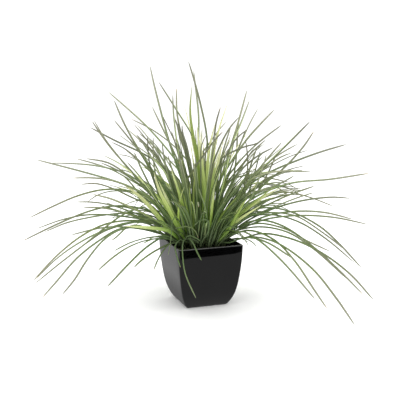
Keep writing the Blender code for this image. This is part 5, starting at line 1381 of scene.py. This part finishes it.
def build_fine_pot(mat):
    rings = []
    foot = spline_half(0.0)
    # underside: flat foot all round and a shallow recess inside it
    rings += [(foot * 0.52, 0.0022, 0.0016), (foot * 0.80, 0.0024, 0.0016), (foot * 0.84, 0.0025, 0.0012),
              (foot * 0.87, 0.0026, 0.0)]
    rings += [(foot - 0.0009, 0.0028, 0.0), (foot - 0.0003, 0.0030, 0.0003), (foot + 0.0001, 0.0030, 0.0010)]
    for z in np.linspace(0.0022, HEIGHT - 0.0011, 46):
        rings.append((spline_half(z), corner_fine(z), z))
    rim = spline_half(HEIGHT - 0.0011)
    for a in (30, 60, 90):
        q = math.radians(a)
        rings.append((rim - 0.0011 * (1 - math.cos(q)), CORNER - 0.0011 * (1 - math.cos(q)),
                      HEIGHT - 0.0011 + 0.0011 * math.sin(q)))
    for a in (90, 60, 30, 0):
        q = math.radians(a)
        rings.append((rim - WALL + 0.0011 * (1 - math.cos(q)), INNER_CORNER + 0.0011 * (1 - math.cos(q)),
                      HEIGHT - 0.0011 + 0.0011 * math.sin(q)))
    for z in np.linspace(HEIGHT - 0.003, FLOOR + 0.001, 24):
        rings.append((spline_half(z) - WALL, INNER_CORNER, z))
    rings.append((spline_half(FLOOR) - WALL - 0.001, INNER_CORNER, FLOOR))
    bm = bmesh.new()
    layers = [[bm.verts.new(p) for p in rounded(h, r, z)] for h, r, z in rings]
    uv = bm.loops.layers.uv.new("OFBake")
    count = len(layers[0])
    for i, (a, b) in enumerate(zip(layers, layers[1:])):
        for j in range(count):
            k = (j + 1) % count
            f = bm.faces.new((a[j], a[k], b[k], b[j]))
            f.smooth = True
            for lp, (x, y) in zip(f.loops, ((j, i), (j + 1, i), (j + 1, i + 1), (j, i + 1))):
                lp[uv].uv = (0.01 + 0.98 * x / count, 0.14 + 0.85 * y / (len(layers) - 1))
    for ring, rev, cx in ((layers[0], True, 0.07), (layers[-1], False, 0.21)):
        f = bm.faces.new(list(reversed(ring)) if rev else ring)
        size = max(abs(v.co.x) for v in ring)
        for lp in f.loops:
            lp[uv].uv = (cx + 0.06 * lp.vert.co.x / size, 0.065 + 0.06 * lp.vert.co.y / size)
    bmesh.ops.recalc_face_normals(bm, faces=bm.faces)
    me = bpy.data.meshes.new("planter")
    bm.to_mesh(me)
    bm.free()
    me.materials.append(mat)
    ob = bpy.data.objects.new("planter", me)
    bpy.context.scene.collection.objects.link(ob)
    return ob


def corner_fine(z):
    return CORNER * (0.62 + 0.38 * z / HEIGHT)


# ------------------------------------------------------------------ soil
def build_fine_soil(mat, tufts):
    """A crumbly bed that fills the pot, with loose crumbs lying on it."""
    rng = np.random.default_rng(41)
    half = spline_half(SOIL_TOP) - WALL - 0.0004
    bm = bmesh.new()
    n = 84
    waves = [(rng.uniform(60, 420), rng.uniform(0, math.pi), rng.uniform(0, 6.28)) for _ in range(26)]

    def height(x, y):
        h = 0.0
        for f, a, p in waves:
            h += math.sin(f * (x * math.cos(a) + y * math.sin(a)) + p) * 0.0034 / (1 + f / 60)
        return SOIL_TOP - 0.0004 + h * 0.55

    radius = INNER_CORNER
    grid = {}
    for i in range(n + 1):
        for j in range(n + 1):
            x = (2 * i / n - 1) * half
            y = (2 * j / n - 1) * half
            # the corner squares are drawn in to the pot's round corners
            cx, cy = half - radius, half - radius
            if abs(x) > cx and abs(y) > cy:
                dx, dy = abs(x) - cx, abs(y) - cy
                d = max(dx, dy) / max(math.hypot(dx, dy), 1e-9)
                x = math.copysign(cx + dx * d, x)
                y = math.copysign(cy + dy * d, y)
            side = 1.0 - max(0.0, (max(abs(x), abs(y)) / half - 0.94) / 0.06) * 0.6
            z = SOIL_TOP - 0.0004 + (height(x, y) - SOIL_TOP + 0.0004) * side + rng.normal(0, 0.00018)
            grid[i, j] = bm.verts.new((x, y, min(z, SOIL_TOP + 0.0022)))
    for i in range(n):
        for j in range(n):
            bm.faces.new((grid[i, j], grid[i + 1, j], grid[i + 1, j + 1], grid[i, j + 1]))
    border = ([grid[i, 0] for i in range(n)] + [grid[n, j] for j in range(n)]
              + [grid[i, n] for i in range(n, 0, -1)] + [grid[0, j] for j in range(n, 0, -1)])
    last = border
    for z in np.linspace(SOIL_TOP - 0.004, FLOOR + 0.0006, 12):
        scale = (spline_half(z) - WALL - 0.0006) / half
        ring = [bm.verts.new((v.co.x * scale, v.co.y * scale, z)) for v in border]
        for a in range(len(border)):
            b = (a + 1) % len(border)
            bm.faces.new((last[a], ring[a], ring[b], last[b]))
        last = ring
    bm.faces.new(list(reversed(last)))
    # crumbs: small lumpy stones of soil
    for _ in range(520):
        x, y = rng.uniform(-1, 1, 2) * (half - 0.0025)
        if any(math.hypot(x - c[0], y - c[1]) < CROWN_RADIUS * 1.12 for c in (turned(t["top"]) for t in tufts)):
            continue
        size = float(rng.choice((0.0007, 0.0010, 0.0014), p=(0.5, 0.35, 0.15))) * float(rng.uniform(0.8, 1.25))
        made = bmesh.ops.create_icosphere(bm, subdivisions=1, radius=size)
        squash = rng.uniform(0.55, 1.0, 3)
        for v in made["verts"]:
            v.co = v.co * float(rng.uniform(0.78, 1.15))
            v.co.x *= squash[0]
            v.co.y *= squash[1]
            v.co.z *= squash[2]
            v.co.x += x
            v.co.y += y
            v.co.z += height(x, y) + size * 0.35
    for f in bm.faces:
        f.smooth = True
    bmesh.ops.recalc_face_normals(bm, faces=bm.faces)
    me = bpy.data.meshes.new("soil_bed")
    bm.to_mesh(me)
    bm.free()
    me.materials.append(mat)
    ob = bpy.data.objects.new("soil_bed", me)
    bpy.context.scene.collection.objects.link(ob)
    return ob


# ------------------------------------------------------------------ the plant and its pot
tufts, leaves = plant()
part_leaves(leaves)
for l in leaves:
    l["extra"] = False
more = (crossing_leaves(tufts, CROSSED, False, SEED + 33)
        + crossing_leaves(tufts, PALE, True, SEED + 34, 16000, 22))
more += extra_leaves(tufts)
for l in more:
    l["before"] = l["nodes"].copy()
part_leaves(leaves + more, rounds=90, held=len(leaves))
for l in more:
    # a small leaf that the others squeezed out of its course is left out
    line = fine_line(l)
    l["fair"] = (bool((bends(l["nodes"]) < bends(l["before"]) + 9.0).all())
                 and (l.get("pale", False) or covers(line, 0.3) + shades(line) <= (3 if "pale" in l else 1))
                 and float(bends(at_arc(line, np.linspace(0, arc(line)[-1], 16))[2:]).max()) < 16.0)


def beads(l):
    """Points 1 mm apart along a leaf, past its first 20 mm, where it rises from its crown."""
    line = fine_line(l)
    return at_arc(line, np.arange(0.020, arc(line)[-1], 0.001))


# a small leaf that would run into one of the others is left out too
strung = np.vstack([beads(l) for l in leaves])
tree = KDTree(len(strung))
for i, p in enumerate(strung):
    tree.insert(p, i)
tree.balance()
for l in more:
    l["fair"] = l["fair"] and min(tree.find(p)[2] for p in beads(l)) > 0.0009
leaves_all = leaves + [l for l in more if l["fair"]]
face_leaves(leaves)
face_leaves(more)

mats = [green_leaf(), lime_leaf(), olive_leaf(), crown_sheath()]
rng = np.random.default_rng(5)
for t in tufts:
    mine = [l for l in leaves_all if l["tuft"] == t["name"]]
    surf = Surface()
    rows = len(mine) + 1
    for i, l in enumerate(mine):
        add_leaf(surf, l, (i / rows, (i + 1) / rows), rng)
    add_crown(surf, t, ((rows - 1) / rows, 1.0), rng)
    ob = surf.build(t["name"].replace("tuft", "leaves"), mats)
    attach(ob, "root")
    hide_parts(t["name"])

pot = build_fine_pot(gloss_black())
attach(pot, "root")
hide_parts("pot")
bed = build_fine_soil(soil_grain(), tufts)
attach(bed, "root")
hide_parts("soil")


# ------------------------------------------------------------------ floor, light, camera
def plane(name, x0, x1, y0, y1, z, mat):
    me = bpy.data.meshes.new(name)
    me.from_pydata([(x0, y0, z), (x1, y0, z), (x1, y1, z), (x0, y1, z)], [], [(0, 1, 2, 3)])
    me.materials.append(mat)
    ob = bpy.data.objects.new(name, me)
    bpy.context.scene.collection.objects.link(ob)
    return ob


k = Nodes("pale_floor")
floor = plane("floor", -9, 9, -9, 9, 0.0,
              k.done((0.93, 0.93, 0.925), 0.9, Specular_IOR_Level=0.0, Emission_Strength=0.08))
k.bsdf.inputs["Emission Color"].default_value = (1.0, 1.0, 1.0, 1.0)


def card(name, x0, x1, y0, y1, z, reflection_glow):
    """A card on the floor that only gloss sees and that glows by itself, or stays black at no glow: a painted
    reflection that sets what the pot's front mirrors.
    """
    k = Nodes(name)
    ob = plane(name, x0, x1, y0, y1, z, k.done((0.0, 0.0, 0.0), 1.0, Specular_IOR_Level=0.0,
                                               Emission_Strength=reflection_glow))
    k.bsdf.inputs["Emission Color"].default_value = (1.0, 1.0, 1.0, 1.0)
    ob.visible_camera = False
    ob.visible_diffuse = False
    ob.visible_shadow = False
    ob.visible_transmission = False
    return ob


# a black card from 0.35 m in front of the pot: the painted dark reflection which the pot mirrors just under its rim
far = card("card_far", -1.3, 1.3, -1.1, 0.0, 0.0, 0.0)
far.location = (0.115, -0.325, 0.0012)
far.rotation_euler = (0, 0, math.radians(-4.4))
# glowing cards in front of and left of the pot: painted reflections on its front and left faces
card("card_near", -0.32, 0.60, -0.40, -0.0405, 0.0006, 0.50)
side = card("card_side", -1.60, -0.0410, -0.04, 1.80, 0.0006, 0.70)
# painted shade in the reflection: the card glows dimmer close to the pot, where the floor lies in shade
k = Nodes("card_side_shade")
xyz = k.new("ShaderNodeSeparateXYZ")
k.nt.links.new(k.new("ShaderNodeTexCoord").outputs["Object"], xyz.inputs[0])
k.done((0.0, 0.0, 0.0), 1.0, Specular_IOR_Level=0.0)
k.bsdf.inputs["Emission Color"].default_value = (1.0, 1.0, 1.0, 1.0)
k.put(k.bsdf.inputs["Emission Strength"], k.span(xyz.outputs[0], -0.041, -0.100, 0.20, 0.70))
side.data.materials[0] = k.mat

world = bpy.data.worlds.new("studio")
bpy.context.scene.world = world
world.use_nodes = True
world.node_tree.nodes["Background"].inputs[0].default_value = (1.0, 1.0, 1.0, 1.0)
world.node_tree.nodes["Background"].inputs[1].default_value = 1.21


def soft_light(name, at, target, size, power, colour=(1.0, 1.0, 1.0)):
    d = bpy.data.lights.new(name, "AREA")
    d.shape = "RECTANGLE"
    d.size, d.size_y = size
    d.energy = power
    d.color = colour
    ob = bpy.data.objects.new(name, d)
    bpy.context.scene.collection.objects.link(ob)
    ob.location = at
    ob.rotation_euler = (Vector(target) - Vector(at)).to_track_quat("-Z", "Y").to_euler()
    return ob


soft_light("key", (0.15, 0.7, 1.9), (0, 0, 0.1), (1.1, 1.1), 11.0)
soft_light("top", (0.0, -0.1, 2.2), (0, 0, 0.1), (1.2, 1.2), 12.5)

cam = bpy.data.cameras.new("camera")
cam.lens = 73.71
cam.sensor_width = 36.0
camera = bpy.data.objects.new("camera", cam)
bpy.context.scene.collection.objects.link(camera)
camera.location = turned(EYE)
camera.rotation_euler = Vector(turned(AHEAD)).to_track_quat("-Z", "Y").to_euler()
bpy.context.scene.camera = camera
bpy.context.scene.view_settings.view_transform = "Standard"
